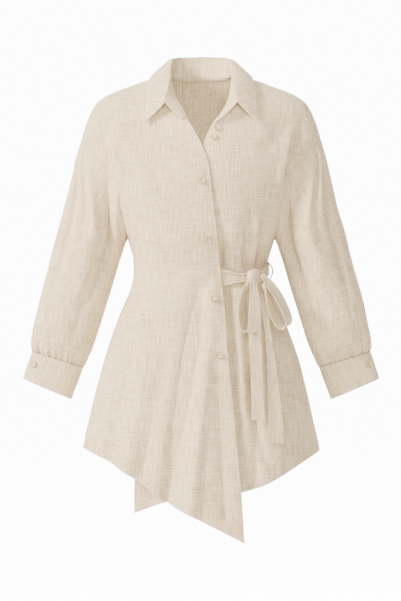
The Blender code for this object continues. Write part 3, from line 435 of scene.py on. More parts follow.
body = {
    "wall": 0.0011, "hemWall": 0.0012, "underarm": -0.352, "waist": -0.43, "power": 2.2,
    "neckHalfWidth": 0.068, "backNeckHeight": 0.004, "hemTurn": 0.011, "edgeTurn": 0.0035,
    "foldGain": 1.35, "foldStart": 0.05, "waistPress": 0.8, "waistBand": 0.024, "solveSteps": 14,
    # stretch across and down, metres from one swell to the next, step of the seed, depth
    "rumple": ((1, 0.6, 0.034, 0, 0.0011), (1, 0.5, 0.075, 20, 0.0017), (1.3, 0.8, 0.013, 10, 0.00022)),
    "waistCalm": (0.7, 0.03), "calm": (0.03, 0.02, 0.03, 0.02), "sideSeam": (0.985, 0.015),
    "coverFade": (0.004, 0.05), "slitFade": (1.8, 0.02), "backNeckFade": 0.01,
    # a turned edge: how proud it stands, how soft its step is, and the dent of its stitches
    "hemLift": 0.0005, "hemStep": 0.002, "hemDent": ((0, 0.0012, -0.0006),),
    # seams, by place, half width and height, and the shares of the way down where each kind shows
    "seamRoll": ((0.0045, 0.003, -0.0011),), "armhole": ((0.0032, 0.002, 0.0012), (0.009, 0.0035, -0.0009)),
    "armholeEnd": (0.9, 0.12), "armholeStart": 0.06, "seamStart": (1.03, 0.08),
    # distance from the centre, height
    "shoulderLine": (
        (0, 0.03), (0.02, 0.026), (0.04, 0.018), (0.06, 0.0098), (0.07, 0.0058), (0.09, 0.0016),
        (0.117, -0.0022), (0.1544, -0.0154), (0.1896, -0.0286), (0.216, -0.0418), (0.2314, -0.055),
        (0.2402, -0.0682), (0.248, -0.086), (0.2556, -0.106), (0.263, -0.13)),
    # share of the way down, half width, front depth, back depth, armhole's distance from the centre
    "upper": (
        (0, 0.29, 0.098, 0.096, 0.262), (0.3, 0.2555, 0.106, 0.104, 0.2386),
        (0.41, 0.245, 0.109, 0.105, 0.2206), (0.55, 0.229, 0.114, 0.105, 0.193),
        (0.65, 0.2185, 0.118, 0.104, 0.183), (0.82, 0.19, 0.121, 0.102, 0.1745),
        (1, 0.1617, 0.122, 0.1, 0.1617)),
    # height, half width, front depth, back depth
    "lower": (
        (-0.352, 0.1617, 0.122, 0.1), (-0.376, 0.1545, 0.113, 0.093), (-0.398, 0.148, 0.106, 0.088),
        (-0.42, 0.1455, 0.102, 0.086), (-0.442, 0.1475, 0.102, 0.087), (-0.464, 0.156, 0.106, 0.092),
        (-0.508, 0.1749, 0.115, 0.102), (-0.552, 0.192, 0.124, 0.112), (-0.618, 0.2134, 0.136, 0.123),
        (-0.706, 0.2365, 0.149, 0.134), (-0.806, 0.259, 0.161, 0.146), (-0.9, 0.276, 0.171, 0.154),
        (-1.02, 0.292, 0.181, 0.162)),
    # height, how far inside the left front lies where the right one covers it
    "covered": (
        (-1, 0.02), (-0.9, 0.017), (-0.76, 0.011), (-0.6, 0.008), (-0.43, 0.007), (-0.25, 0.0055),
        (-0.15, 0.0045), (0, 0.004)),
}

# Fold rows: x and height of the start, the bend and the end, half width, depth at the three places.
# Troughs are over 0 and ridges under 0
rightFront = {
    "piece": "rightFrontCloth", "side": -1, "back": False,
    "across": 118, "down": (76, 120), "seed": 11, "slitPush": 0.003,
    "flat": (0.4, 1.01), "area": 0.29,
    "edgeTop": (
        (0, 0.068), (0.059, 0.0631), (0.157, 0.0543), (0.237, 0.0405), (0.3, 0.0308), (0.363, 0.0195),
        (0.468, -0.0008), (0.559, -0.0136), (0.715, -0.0224), (0.881, -0.0297), (1, -0.0353)),
    "edgeLow": (
        (-1.006, -0.0924), (-0.884, -0.0847), (-0.807, -0.0777), (-0.729, -0.07), (-0.658, -0.0625),
        (-0.6, -0.0574), (-0.48, -0.0483), (-0.417, -0.0408), (-0.352, -0.0353)),
    "hem": (
        (-0.0924, -1.006), (-0.0081, -0.9629), (0.0767, -0.9186), (0.1429, -0.8704), (0.1686, -0.8536),
        (0.211, -0.8303), (0.262, -0.8063)),
    "folds": (
        (0.003, -0.445, -0.022, -0.61, -0.076, -0.925, 0.024, 0.005, 0.012, 0.014),
        (-0.224, -0.085, -0.207, -0.165, -0.182, -0.268, 0.011, 0, 0.006, 0.002),
        (-0.206, -0.085, -0.188, -0.165, -0.164, -0.3, 0.01, 0, -0.003, 0),
        (0.022, -0.46, 0.012, -0.64, -0.024, -0.94, 0.017, -0.002, -0.006, -0.008),
        (-0.055, -0.52, -0.095, -0.69, -0.128, -0.86, 0.02, 0, 0.003, 0.006),
        (-0.105, -0.56, -0.128, -0.7, -0.158, -0.85, 0.019, 0, -0.004, -0.008),
        (-0.12, -0.47, -0.165, -0.64, -0.2, -0.83, 0.02, 0, 0.004, 0.007),
        (0.03, -0.54, 0.042, -0.74, 0.052, -0.95, 0.015, 0, 0.003, 0.005),
        (-0.12, -0.15, -0.1, -0.23, -0.06, -0.3, 0.016, 0, 0.0025, 0),
        (-0.11, -0.3, -0.085, -0.37, -0.045, -0.42, 0.014, 0, 0.002, 0)),
    # finer creases that only the dressed piece has
    "creases": (
        (-0.214, -0.172, -0.2, -0.196, -0.186, -0.208, 0.0045, 0.0002, 0.0016, 0.0004),
        (-0.196, -0.15, -0.188, -0.2, -0.176, -0.246, 0.006, 0, -0.0011, 0),
        (-0.15, -0.31, -0.12, -0.33, -0.08, -0.338, 0.007, 0.0006, 0.001, 0),
        (-0.142, -0.4, -0.112, -0.408, -0.07, -0.404, 0.0055, 0.0012, 0.001, 0),
        (-0.14, -0.432, -0.1, -0.438, -0.05, -0.43, 0.006, 0.001, 0.0012, 0),
        (-0.02, -0.52, -0.036, -0.6, -0.052, -0.7, 0.006, 0.001, 0.002, 0),
        (-0.06, -0.64, -0.078, -0.76, -0.092, -0.9, 0.009, 0, -0.0016, -0.0014),
        (0.014, -0.7, 0.01, -0.82, 0.004, -0.95, 0.008, 0, 0.0012, 0.0018),
        (-0.178, -0.6, -0.196, -0.7, -0.218, -0.82, 0.009, 0, -0.0016, -0.002),
        (-0.09, -0.47, -0.1, -0.52, -0.118, -0.59, 0.007, 0.001, 0.0014, 0),
        (-0.036, -0.11, -0.05, -0.16, -0.046, -0.22, 0.009, 0, -0.001, 0)),
}

leftFront = {
    "piece": "leftFrontCloth", "side": 1, "back": False,
    "across": 124, "down": (76, 120), "seed": 12, "slitPush": 0.0,
    "flat": (0.42, 0.955), "area": 0.295,
    "edgeTop": (
        (0, 0.068), (0.059, 0.065), (0.179, 0.0566), (0.277, 0.04), (0.326, 0.0275), (0.384, 0.0165),
        (0.465, 0.0054), (0.705, -0.012), (1, -0.024)),
    "edgeLow": (
        (-0.95, -0.152), (-0.87, -0.148), (-0.76, -0.11), (-0.6, -0.062), (-0.4, -0.03), (-0.352, -0.024)),
    "hem": (
        (-0.152, -0.944), (-0.0768, -0.9193), (-0.0026, -0.9084), (0.0885, -0.8994), (0.1386, -0.8827),
        (0.1712, -0.8661), (0.2121, -0.8416), (0.262, -0.8136)),
    "folds": (
        (0.06, -0.466, 0.066, -0.6, 0.08, -0.76, 0.012, 0.009, 0.007, 0.003),
        (0.104, -0.5, 0.098, -0.66, 0.138, -0.83, 0.012, 0.006, 0.012, 0.004),
        (0.128, -0.48, 0.15, -0.59, 0.178, -0.76, 0.013, 0.003, 0.006, 0.006),
        (0.178, -0.56, 0.205, -0.68, 0.226, -0.81, 0.014, 0, 0.004, 0.006),
        (0.112, -0.56, 0.122, -0.72, 0.118, -0.88, 0.014, 0, 0.003, 0.006),
        (0.048, -0.412, 0.048, -0.37, 0.044, -0.31, 0.01, 0.009, 0.007, 0),
        (0.101, -0.412, 0.102, -0.375, 0.11, -0.305, 0.01, 0.012, 0.01, 0),
        (0.131, -0.408, 0.139, -0.36, 0.148, -0.29, 0.011, 0.018, 0.016, 0.001),
        (0.118, -0.402, 0.122, -0.34, 0.122, -0.27, 0.009, -0.002, -0.005, 0),
        (0.215, -0.09, 0.168, -0.128, 0.12, -0.19, 0.022, 0, 0.004, 0),
        (0.226, -0.085, 0.205, -0.165, 0.18, -0.268, 0.013, 0.001, 0.012, 0.003),
        (0.206, -0.085, 0.186, -0.165, 0.162, -0.3, 0.01, 0, -0.004, 0),
        (-0.105, -0.868, -0.108, -0.905, -0.112, -0.945, 0.05, 0, 0.006, 0.011)),
    "creases": (
        (0.206, -0.176, 0.196, -0.2, 0.186, -0.214, 0.0045, 0.0002, 0.0014, 0.0004),
        (0.049, -0.41, 0.05, -0.38, 0.044, -0.335, 0.0065, 0.005, 0.0036, 0),
        (0.08, -0.412, 0.08, -0.388, 0.076, -0.35, 0.005, 0.0024, 0.0018, 0),
        (0.114, -0.412, 0.118, -0.39, 0.124, -0.352, 0.004, -0.0014, -0.0012, 0),
        (0.146, -0.404, 0.15, -0.38, 0.154, -0.35, 0.0045, 0.0016, 0.0014, 0),
        (0.06, -0.47, 0.06, -0.5, 0.062, -0.56, 0.005, 0.0018, 0.0014, 0),
        (0.146, -0.47, 0.156, -0.52, 0.168, -0.58, 0.006, 0.0014, 0.0016, 0),
        (0.088, -0.56, 0.092, -0.7, 0.096, -0.86, 0.009, 0, -0.0014, -0.0012),
        (0.16, -0.7, 0.168, -0.79, 0.172, -0.86, 0.008, 0, -0.0014, -0.0018),
        (0.07, -0.21, 0.074, -0.26, 0.07, -0.31, 0.009, 0, 0.001, 0)),
}

backPanel = {
    "piece": "backCloth", "side": -1, "back": True,
    "across": 140, "down": (60, 104), "seed": 13, "slitPush": -0.0032,
    "flat": (0.64, 0.88), "area": 0.46,
    "hem": ((0.000, -0.868), (0.1, -0.862), (0.18, -0.842), (0.262, -0.81)),
    "folds": (
        (-0.05, -0.475, -0.07, -0.64, -0.095, -0.85, 0.022, 0.001, 0.009, 0.013),
        (0.04, -0.475, 0.062, -0.65, 0.082, -0.855, 0.02, 0.001, 0.008, 0.012),
        (0.12, -0.48, 0.15, -0.64, 0.18, -0.835, 0.02, 0, 0.007, 0.01),
        (-0.125, -0.49, -0.155, -0.65, -0.185, -0.835, 0.022, 0, 0.007, 0.01),
        (0, -0.16, 0.008, -0.27, 0.004, -0.39, 0.022, 0, 0.006, 0.006)),
    "creases": (
        (-0.03, -0.405, -0.026, -0.37, -0.034, -0.31, 0.006, 0.002, 0.0014, 0),
        (0.03, -0.405, 0.036, -0.36, 0.03, -0.3, 0.006, 0.0018, 0.0014, 0),
        (0.078, -0.405, 0.082, -0.37, 0.094, -0.32, 0.006, 0.0016, 0.0012, 0),
        (-0.08, -0.405, -0.086, -0.37, -0.092, -0.32, 0.006, 0.002, 0.0012, 0),
        (-0.01, -0.46, -0.012, -0.54, -0.014, -0.64, 0.008, 0.0018, 0.0016, 0),
        (0.08, -0.46, 0.096, -0.54, 0.11, -0.64, 0.008, 0.0016, 0.0016, 0),
        (-0.09, -0.46, -0.104, -0.54, -0.118, -0.64, 0.008, 0.0018, 0.0016, 0),
        (0, -0.64, 0.004, -0.76, 0, -0.86, 0.011, 0, -0.002, -0.0026),
        (0.12, -0.1, 0.128, -0.19, 0.14, -0.29, 0.01, 0, 0.0018, 0),
        (-0.12, -0.1, -0.13, -0.19, -0.142, -0.29, 0.01, 0, 0.0018, 0),
        (0.15, -0.25, 0.12, -0.3, 0.07, -0.33, 0.008, 0.0012, 0.0014, 0),
        (-0.15, -0.25, -0.116, -0.296, -0.07, -0.322, 0.008, 0.0012, 0.0014, 0)),
}


def shoulderHeight(x):
    return smoothRead(body["shoulderLine"], 1, np.abs(x))


def levelAt(x, z):
    # the share of the way down from the shoulder (0) to the underarm (1)
    top = shoulderHeight(x)
    return (top - z) / (top - body["underarm"])


def foldDepth(folds, x, z):
    # each fold follows a bent line on the front view and fades away from it
    depth = np.zeros(np.broadcast(x, z).shape)
    parts = 12
    steps = np.linspace(0, 1, parts + 1)
    for x0, z0, x1, z1, x2, z2, halfWidth, start, middle, end in folds:
        weights = (1 - steps) ** 2, 2 * steps * (1 - steps), steps ** 2
        lineX = weights[0] * x0 + weights[1] * x1 + weights[2] * x2
        lineZ = weights[0] * z0 + weights[1] * z1 + weights[2] * z2
        nearest = np.full(depth.shape, np.inf)
        along = np.zeros(depth.shape)
        for i in range(parts):
            runX, runZ = lineX[i + 1] - lineX[i], lineZ[i + 1] - lineZ[i]
            part = ((x - lineX[i]) * runX + (z - lineZ[i]) * runZ) / (runX ** 2 + runZ ** 2)
            part = np.clip(part, 0, 1)
            away = np.hypot(x - lineX[i] - part * runX, z - lineZ[i] - part * runZ)
            closer = away < nearest
            nearest = np.where(closer, away, nearest)
            along = np.where(closer, (i + part) / parts, along)
        strength = np.where(along < 0.5, start + (middle - start) * ease(2 * along),
                            middle + (end - middle) * ease(2 * along - 1))
        depth += np.where(strength > 0, valley(nearest / halfWidth), bell(nearest / halfWidth)) * strength
    return depth


def ovalAngle(share):
    return np.arccos(signedPower(np.clip(share, -1, 1), body["power"] / 2))


def oval(halfWidth, depth, angle):
    across = halfWidth * signedPower(np.cos(angle), 2 / body["power"])
    forward = depth * np.abs(np.sin(angle)) ** (2 / body["power"])
    return across, forward


def pushedOut(x, y, z, halfWidth, depth, push):
    # moved straight out from the body, level with the ground
    outX = signedPower(x / halfWidth, body["power"] - 1) / halfWidth
    outY = signedPower(y / depth, body["power"] - 1) / depth
    length = np.hypot(outX, outY) + 1e-9
    return np.stack([x + outX / length * push, y + outY / length * push, z * np.ones_like(x)], -1)


def coveredInset(x, z):
    # how far the left front lies inside, where the right front covers it
    edgeX = -smoothRead(rightFront["edgeLow"], 1, z)
    edgeX = np.where(z > body["underarm"], -smoothRead(rightFront["edgeTop"], 1, levelAt(x, z)), edgeX)
    start, fade = body["coverFade"]
    cover = ease(1 - (x - edgeX - start) / fade)
    return smoothRead(body["covered"], 1, z) * cover


def bodyPoint(panel, across, down):
    # across runs from the side seam or armhole (0) to the other edge (1), down from the
    # shoulder (0) past the underarm (1) to the hem (2)
    power = body["power"]
    underarm = body["underarm"]
    depthColumn = 3 if panel["back"] else 2
    turn = np.clip(down, 0, 1) * math.pi / 2
    level = 1 - np.abs(np.cos(turn)) ** (2 / power)
    fullness = np.sin(turn) ** (2 / power)
    halfWidth = smoothRead(body["upper"], 1, level)
    depth = smoothRead(body["upper"], depthColumn, level)
    start = ovalAngle(smoothRead(body["upper"], 4, level) / halfWidth)
    if panel["back"]:
        end = math.pi - start
    else:
        end = ovalAngle(smoothRead(panel["edgeTop"], 1, level) / halfWidth)
    aside, forward = oval(halfWidth, depth, start + (end - start) * across)
    top = shoulderHeight(aside)
    if panel["back"]:
        neckLevel = np.clip((top - body["backNeckHeight"]) / (top - underarm), 0, 1)
        neckLevel = neckLevel * ease((body["neckHalfWidth"] - np.abs(aside)) / body["backNeckFade"])
        level = neckLevel + (1 - neckLevel) * level
        fullness = (1 - (1 - level) ** power) ** (1 / power)
    upperZ = top + (underarm - top) * level
    upperY = forward * fullness

    share = np.clip(down - 1, 0, 1)
    if panel["back"]:
        end = np.full(np.shape(share), math.pi)
    else:
        edgeAside = np.full(np.shape(share), panel["edgeLow"][-1][1])
        for _ in range(body["solveSteps"]):
            edgeZ = underarm + (smoothRead(panel["hem"], 1, edgeAside) - underarm) * share
            edgeAside = smoothRead(panel["edgeLow"], 1, edgeZ)
        end = ovalAngle(edgeAside / smoothRead(body["lower"], 1, edgeZ))
    angle = end * across
    z = underarm - 0.5 * share
    for _ in range(body["solveSteps"]):
        halfWidth = smoothRead(body["lower"], 1, z)
        depth = smoothRead(body["lower"], depthColumn, z)
        lowAside, forward = oval(halfWidth, depth, angle)
        hemAside = np.abs(lowAside) if panel["back"] else lowAside
        z = underarm + (smoothRead(panel["hem"], 1, hemAside) - underarm) * share
    below = down > 1
    z = np.where(below, z, upperZ)
    y = np.where(below, forward, upperY)
    y = y if panel["back"] else -y
    x = np.where(below, lowAside, aside) * panel["side"]

    widthHere = np.where(below, halfWidth, smoothRead(body["upper"], 1, level))
    depthHere = np.where(below, depth, smoothRead(body["upper"], depthColumn, level))
    push = -body["foldGain"] * foldDepth(panel["folds"], x, z) - foldDepth(panel["creases"], x, z)
    push = push * ease((shoulderHeight(x) - z) / body["foldStart"])
    # folds die away at the side seams, and the belt presses the waist smooth
    start, fade = body["sideSeam"]
    sideSeam = ease((np.abs(x) / widthHere - start) / fade)
    push = push * (1 - np.where(z < underarm, sideSeam, 0))
    push = push * (1 - body["waistPress"] * bump((z - body["waist"]) / body["waistBand"]))
    if panel is leftFront:
        push = push - coveredInset(x, z)
    fade, reach = body["slitFade"]
    slit = ease(fade - np.abs(z - belt["slitLevel"]) / belt["slitHeight"])
    slit = slit * ease(1 - (x + widthHere) / reach) * np.where(x < 0, 1, 0)
    push = push + slit * panel["slitPush"]
    return pushedOut(x, y, z, widthHere, depthHere, push)


def bodyCut(panel, points):
    # warp yarns hang straight down: flat x is the length round the oval at that height
    x, z = points[..., 0], points[..., 2]
    column = 3 if panel["back"] else 2
    level = levelAt(x, z)
    high = z > body["underarm"]
    halfWidth = np.where(high, smoothRead(body["upper"], 1, level), smoothRead(body["lower"], 1, z))
    depth = np.where(high, smoothRead(body["upper"], column, level), smoothRead(body["lower"], column, z))
    share = np.clip(np.abs(x) / halfWidth, 0, 1)
    # the oval's length from its middle out to x, summed over short parts
    parts = 16
    reach = np.zeros_like(x)
    old = (np.zeros_like(x), depth)
    for i in range(1, parts + 1):
        part = share * i / parts
        new = (part * halfWidth, depth * (1 - part ** body["power"]) ** (1 / body["power"]))
        reach = reach + np.hypot(new[0] - old[0], new[1] - old[1])
        old = new
    return np.stack([np.sign(x) * reach, z], -1)


def edgeDistances(points):
    # metres along the rows to the last column, and down the columns to the last row
    steps = np.linalg.norm(np.diff(points, axis=1), axis=-1)
    toEdge = np.concatenate([np.cumsum(steps[:, ::-1], axis=1)[:, ::-1], np.zeros((len(points), 1))], axis=1)
    falls = np.linalg.norm(np.diff(points, axis=0), axis=-1)
    toHem = np.concatenate([np.cumsum(falls[::-1], axis=0)[::-1], np.zeros((1, points.shape[1]))], axis=0)
    return toEdge, toHem


def closeRows(count, tight):
    # shares from 0 to 1, closer together near 1 where a hem turns
    shares = np.linspace(0, 1, count)
    return shares + tight * np.sin(shares * math.pi) / math.pi


def turnedHem(distance, turn):
    # a turned hem stands a little proud and is drawn in at its stitches
    step = body["hemStep"]
    lift = body["hemLift"] * ease((turn + step / 2 - distance) / step)
    return lift + ridges(distance - turn, body["hemDent"])


def seamRoll(distance):
    return ridges(distance, body["seamRoll"])  # a seam pulls the cloth in beside it


def armholeEdge(distance, level):
    # a plain seam below the underarm; above it the turned allowances lift the body beside the armhole
    (end, fadeOut), (start, fadeIn) = body["armholeEnd"], body["seamStart"]
    above = ease((end - level) / fadeOut) * ease(level / body["armholeStart"])
    return ridges(distance, body["armhole"]) * above + seamRoll(distance) * ease((level - start) / fadeIn)


levelWay = np.array([1, 1, 0])


def addPanel(panel):
    us = closeRows(panel["across"], 0.25)
    upper, lower = panel["down"]
    vs = np.concatenate([np.linspace(0, 1, upper, endpoint=False), 1 + closeRows(lower, 0.2)])
    u, v = shareGrid(us, vs)
    points = bodyPoint(panel, u, v)
    cut = bodyCut(panel, points)
    toEdge, toHem = edgeDistances(points)
    fromSide = toEdge[:, :1] - toEdge
    fromTop = toHem[:1] - toHem
    detail = turnedHem(toHem, body["hemTurn"]) + armholeEdge(fromSide, v) + seamRoll(fromTop)
    detail = detail + (armholeEdge(toEdge, v) if panel["back"] else turnedHem(toEdge, body["edgeTurn"]))
    rims = toHem, toEdge, fromTop, fromSide
    calm = math.prod(ease(away / reach) for away, reach in zip(rims, body["calm"]))
    press, band = body["waistCalm"]
    uneven = rumple(cut, body["rumple"], panel["seed"])
    uneven = uneven * (1 - press * bump((points[..., 2] - body["waist"]) / band))
    wall = body["wall"] + body["hemWall"] * ease((body["hemTurn"] - toHem) / body["hemStep"])
    return addCloth(panel["piece"], points, detail + uneven * calm, wall, cut, linen, points * levelWay)


# Sleeves and cuffs

sleeve = {
    "around": 170, "along": 170, "wall": 0.0011, "foldGain": 1.35, "roundBy": 0.34,
    "gatherWidth": 0.02, "fineGather": 0.0019, "fineCount": 27, "rumple": ((1, 0.6, 0.032, 0, 0.0011),),
    # how much the armhole seam pulls in and where that ends, the tuck at the cuff and the underarm's dent
    "seamGain": 1.4, "seamEnd": (0.46, 0.08), "cuffTuck": (0.006, 0.0016),
    "underarm": ((0.004, 0.003, -0.0009),), "underarmStart": (0.01, 0.04), "calm": (0.03, 0.05, 0.05),
    "flat": (0.52, 0.52), "area": 0.215,
    # share of the way, outer x and height, inner x and height, depth from front to back
    "sections": (
        (0, 0.2642, -0.1305, 0.165, -0.353, 0.126), (0.1, 0.2776, -0.1782, 0.1668, -0.36, 0.126),
        (0.2, 0.2864, -0.2222, 0.1686, -0.366, 0.124), (0.3, 0.3005, -0.28, 0.1716, -0.379, 0.12),
        (0.4, 0.319, -0.347, 0.181, -0.408, 0.116), (0.5, 0.3345, -0.407, 0.195, -0.456, 0.112),
        (0.6, 0.35, -0.463, 0.2098, -0.5037, 0.106), (0.7, 0.3612, -0.508, 0.2235, -0.548, 0.098),
        (0.8, 0.3705, -0.55, 0.237, -0.5885, 0.088), (0.9, 0.3742, -0.577, 0.2478, -0.613, 0.074),
        (1, 0.3722, -0.599, 0.2592, -0.6345, 0.05)),
    # turn round the arm at the start and end, start and end share, half width, depth
    "folds": (
        (0.2, 0.215, 0, 0.4, 0.034, 0.003), (0.27, 0.25, 0, 0.55, 0.036, -0.006),
        (0.64, 0.66, 0.02, 0.45, 0.036, 0.009), (0.78, 0.76, 0, 0.55, 0.036, 0.006),
        (0.31, 0.3, 0.45, 0.85, 0.034, 0.003), (0.7, 0.69, 0.4, 0.8, 0.036, 0.004)),
    "rightFolds": ((0.38, 0.338, -0.08, 0.62, 0.028, 0.013), (0.115, 0.14, 0.03, 0.66, 0.032, 0.008)),
    "leftFolds": ((0.412, 0.362, -0.14, 0.7, 0.038, 0.018), (0.122, 0.15, 0.02, 0.66, 0.03, 0.009)),
    "creases": (
        (0.41, 0.33, 0.3, 0.5, 0.012, 0.0022), (0.43, 0.36, 0.36, 0.58, 0.012, 0.0018),
        (0.3, 0.25, 0.4, 0.62, 0.014, -0.0014), (0.18, 0.15, 0.55, 0.8, 0.014, 0.0014),
        (0.6, 0.66, 0.32, 0.56, 0.014, 0.002), (0.86, 0.84, 0.2, 0.6, 0.016, 0.0016),
        (0.04, 0.06, 0.1, 0.45, 0.016, 0.0012), (0.24, 0.235, 0.1, 0.34, 0.013, 0.0016)),
    # turn round the arm, where it starts, depth
    "gathers": (
        (0.055, 0.8, 0.0035), (0.125, 0.72, 0.005), (0.2, 0.82, 0.0035), (0.275, 0.76, 0.0045),
        (0.35, 0.84, 0.003), (0.43, 0.8, 0.0035), (0.56, 0.82, 0.0035), (0.64, 0.76, 0.0045),
        (0.72, 0.8, 0.004), (0.8, 0.74, 0.0045), (0.88, 0.82, 0.0035), (0.95, 0.78, 0.004)),
}

cuff = {
    "around": 130, "along": 26, "wall": 0.0019, "rumple": ((1, 1, 0.022, 0, 0.0004),),
    "powers": (0.92, 0.85), "calm": 0.01,
    "edgeStitch": 0.0028, "dentWidth": 0.001, "dentDepth": 0.0005,
    "flat": (0.28, 0.075), "area": 0.0205,
    # share of the way, outer x and height, inner x and height, depth
    "sections": (
        (0, 0.3724, -0.5996, 0.2594, -0.6351, 0.048), (0.5, 0.3826, -0.6288, 0.2718, -0.6695, 0.047),
        (1, 0.392, -0.6583, 0.2846, -0.7042, 0.046)),
}


def armholeRing(side, turns):
    # over the arm, down the front, up the back
    front = bodyPoint(rightFront if side < 0 else leftFront, np.zeros_like(turns), np.clip(turns * 2, 0, 1))
    backAcross = np.zeros_like(turns) if side < 0 else np.ones_like(turns)
    behind = bodyPoint(backPanel, backAcross, np.clip(2 - turns * 2, 0, 1))
    return np.where((turns <= 0.5)[..., None], front, behind)


def sleeveCentre(share):
    outerX, outerZ, innerX, innerZ, depth = readAll(sleeve["sections"], share)
    outer, inner = np.stack([outerX, outerZ], -1), np.stack([innerX, innerZ], -1)
    return (outer + inner) / 2, (outer - inner) / 2, depth


def sleevePoint(side, turn, share, ring):
    turn = turn % 1.0
    angle = turn * 2 * math.pi
    middle, half, depth = sleeveCentre(share)
    firstMiddle, firstHalf = (row[0] for row in sleeveCentre(np.zeros(1))[:2])
    reach = np.dot(firstHalf, firstHalf)
    fromX = ring[..., 0] * side - firstMiddle[0]
    fromZ = ring[..., 2] - firstMiddle[1]
    ringAlong = (fromX * firstHalf[0] + fromZ * firstHalf[1]) / reach
    ringAside = (fromX * firstHalf[1] - fromZ * firstHalf[0]) / math.sqrt(reach)
    roundOff = ease(share / sleeve["roundBy"])
    along = ringAlong * (1 - roundOff) + np.cos(angle) * roundOff
    aside = ringAside * (1 - roundOff)
    y = ring[..., 1] * (1 - roundOff) - depth / 2 * signedPower(np.sin(angle), 0.9) * roundOff
    halfLength = np.linalg.norm(half, axis=-1)
    x = middle[..., 0] + half[..., 0] * along + half[..., 1] / halfLength * aside
    z = middle[..., 1] + half[..., 1] * along - half[..., 0] / halfLength * aside

    push = np.zeros_like(x)
    own = sleeve["rightFolds"] if side < 0 else sleeve["leftFolds"]
    for rows, gain in ((sleeve["folds"] + own, sleeve["foldGain"]), (sleeve["creases"], 1.0)):
        for turn0, turn1, start, stop, halfWidth, depthHere in rows:
            part = np.clip((share - start) / (stop - start), 0, 1)
            away = (turn - turn0 - (turn1 - turn0) * part + 0.5) % 1.0 - 0.5
            shape = valley if depthHere > 0 else bell
            fade = np.sin(np.pi * part) ** 0.8 * ease(share / 0.05)
            push -= gain * depthHere * shape(away / halfWidth) * fade
    for centre, start, depthHere in sleeve["gathers"]:
        away = (turn - centre + 0.5) % 1.0 - 0.5
        part = ease((share - start) / (1 - start)) * (1 - 0.3 * ease((share - 0.97) / 0.03))
        push -= depthHere * part * bell(away / sleeve["gatherWidth"])
    # finer gathers close to the cuff, between the larger ones
    fine = ease((share - 0.86) / 0.12)
    wander = 1.3 * np.sin(turn * 2 * math.pi * 3) + 2.2 * share
    push += sleeve["fineGather"] * fine * np.sin(turn * 2 * math.pi * sleeve["fineCount"] + wander)
    outAlong = np.cos(angle) / halfLength
    outY = -np.sin(angle) / (depth / 2)
    length = np.hypot(outAlong, outY)
    way = half / halfLength[..., None]
    x = x + way[..., 0] * outAlong / length * push
    z = z + way[..., 1] * outAlong / length * push
    y = y + outY / length * push
    return np.stack([x * side, y, z], -1)


def cuffPoint(side, turn, share):
    angle = turn * 2 * math.pi
    outerX, outerZ, innerX, innerZ, depth = readAll(cuff["sections"], share)
    wide, deep = cuff["powers"]
    along = signedPower(np.cos(angle), wide)
    x = (outerX + innerX) / 2 + (outerX - innerX) / 2 * along
    z = (outerZ + innerZ) / 2 + (outerZ - innerZ) / 2 * along
    return np.stack([x * side, -depth / 2 * signedPower(np.sin(angle), deep), z], -1)


def addSleeve(side, name):
    # the column where the grid closes is the underarm seam
    turns = np.linspace(0.5, 1.5, sleeve["around"] + 1)
    shares = closeRows(sleeve["along"], 0.15)
    u, v = shareGrid(turns, shares)
    ring = np.repeat(armholeRing(side, turns % 1.0)[None], len(shares), axis=0)
    points = sleevePoint(side, u, v, ring)
    cut = arcCut(points)
    toCuff = edgeDistances(points)[1]
    fromArm = toCuff[:1] - toCuff
    fromTop = np.abs(u - 1.0)
    toSeam = 0.5 - fromTop
    (end, fade), (tuck, depth), (start, run) = sleeve["seamEnd"], sleeve["cuffTuck"], sleeve["underarmStart"]
    detail = sleeve["seamGain"] * seamRoll(fromArm) * ease((end - fromTop) / fade)
    detail = detail - depth * ease((tuck - toCuff) / tuck)
    detail = detail + ridges(toSeam * 0.4, sleeve["underarm"]) * ease((fromArm - start) / run)
    calm = math.prod(ease(away / reach) for away, reach in zip((fromArm, toCuff, toSeam), sleeve["calm"]))
    uneven = rumple(cut, sleeve["rumple"], 21 if side < 0 else 22) * calm
    return addCloth(name, points, detail + uneven, sleeve["wall"], cut, linen)[0]


def addCuff(side, name):
    u, v = shareGrid(np.linspace(0.5, 1.5, cuff["around"] + 1), np.linspace(0, 1, cuff["along"]))
    points = cuffPoint(side, u % 1.0, v)
    cut = arcCut(points)
    toEnd = edgeDistances(points)[1]
    detail = rumple(cut, cuff["rumple"], 31 if side < 0 else 32) * ease(toEnd / cuff["calm"])
    for away in (toEnd, toEnd[:1] - toEnd):
        detail = detail + stitchDent(away, cuff)
    return addCloth(name, points, detail, cuff["wall"], cut, doubleLinen)


# Collar: the stand, turned out below the fold at the front, and the leaf

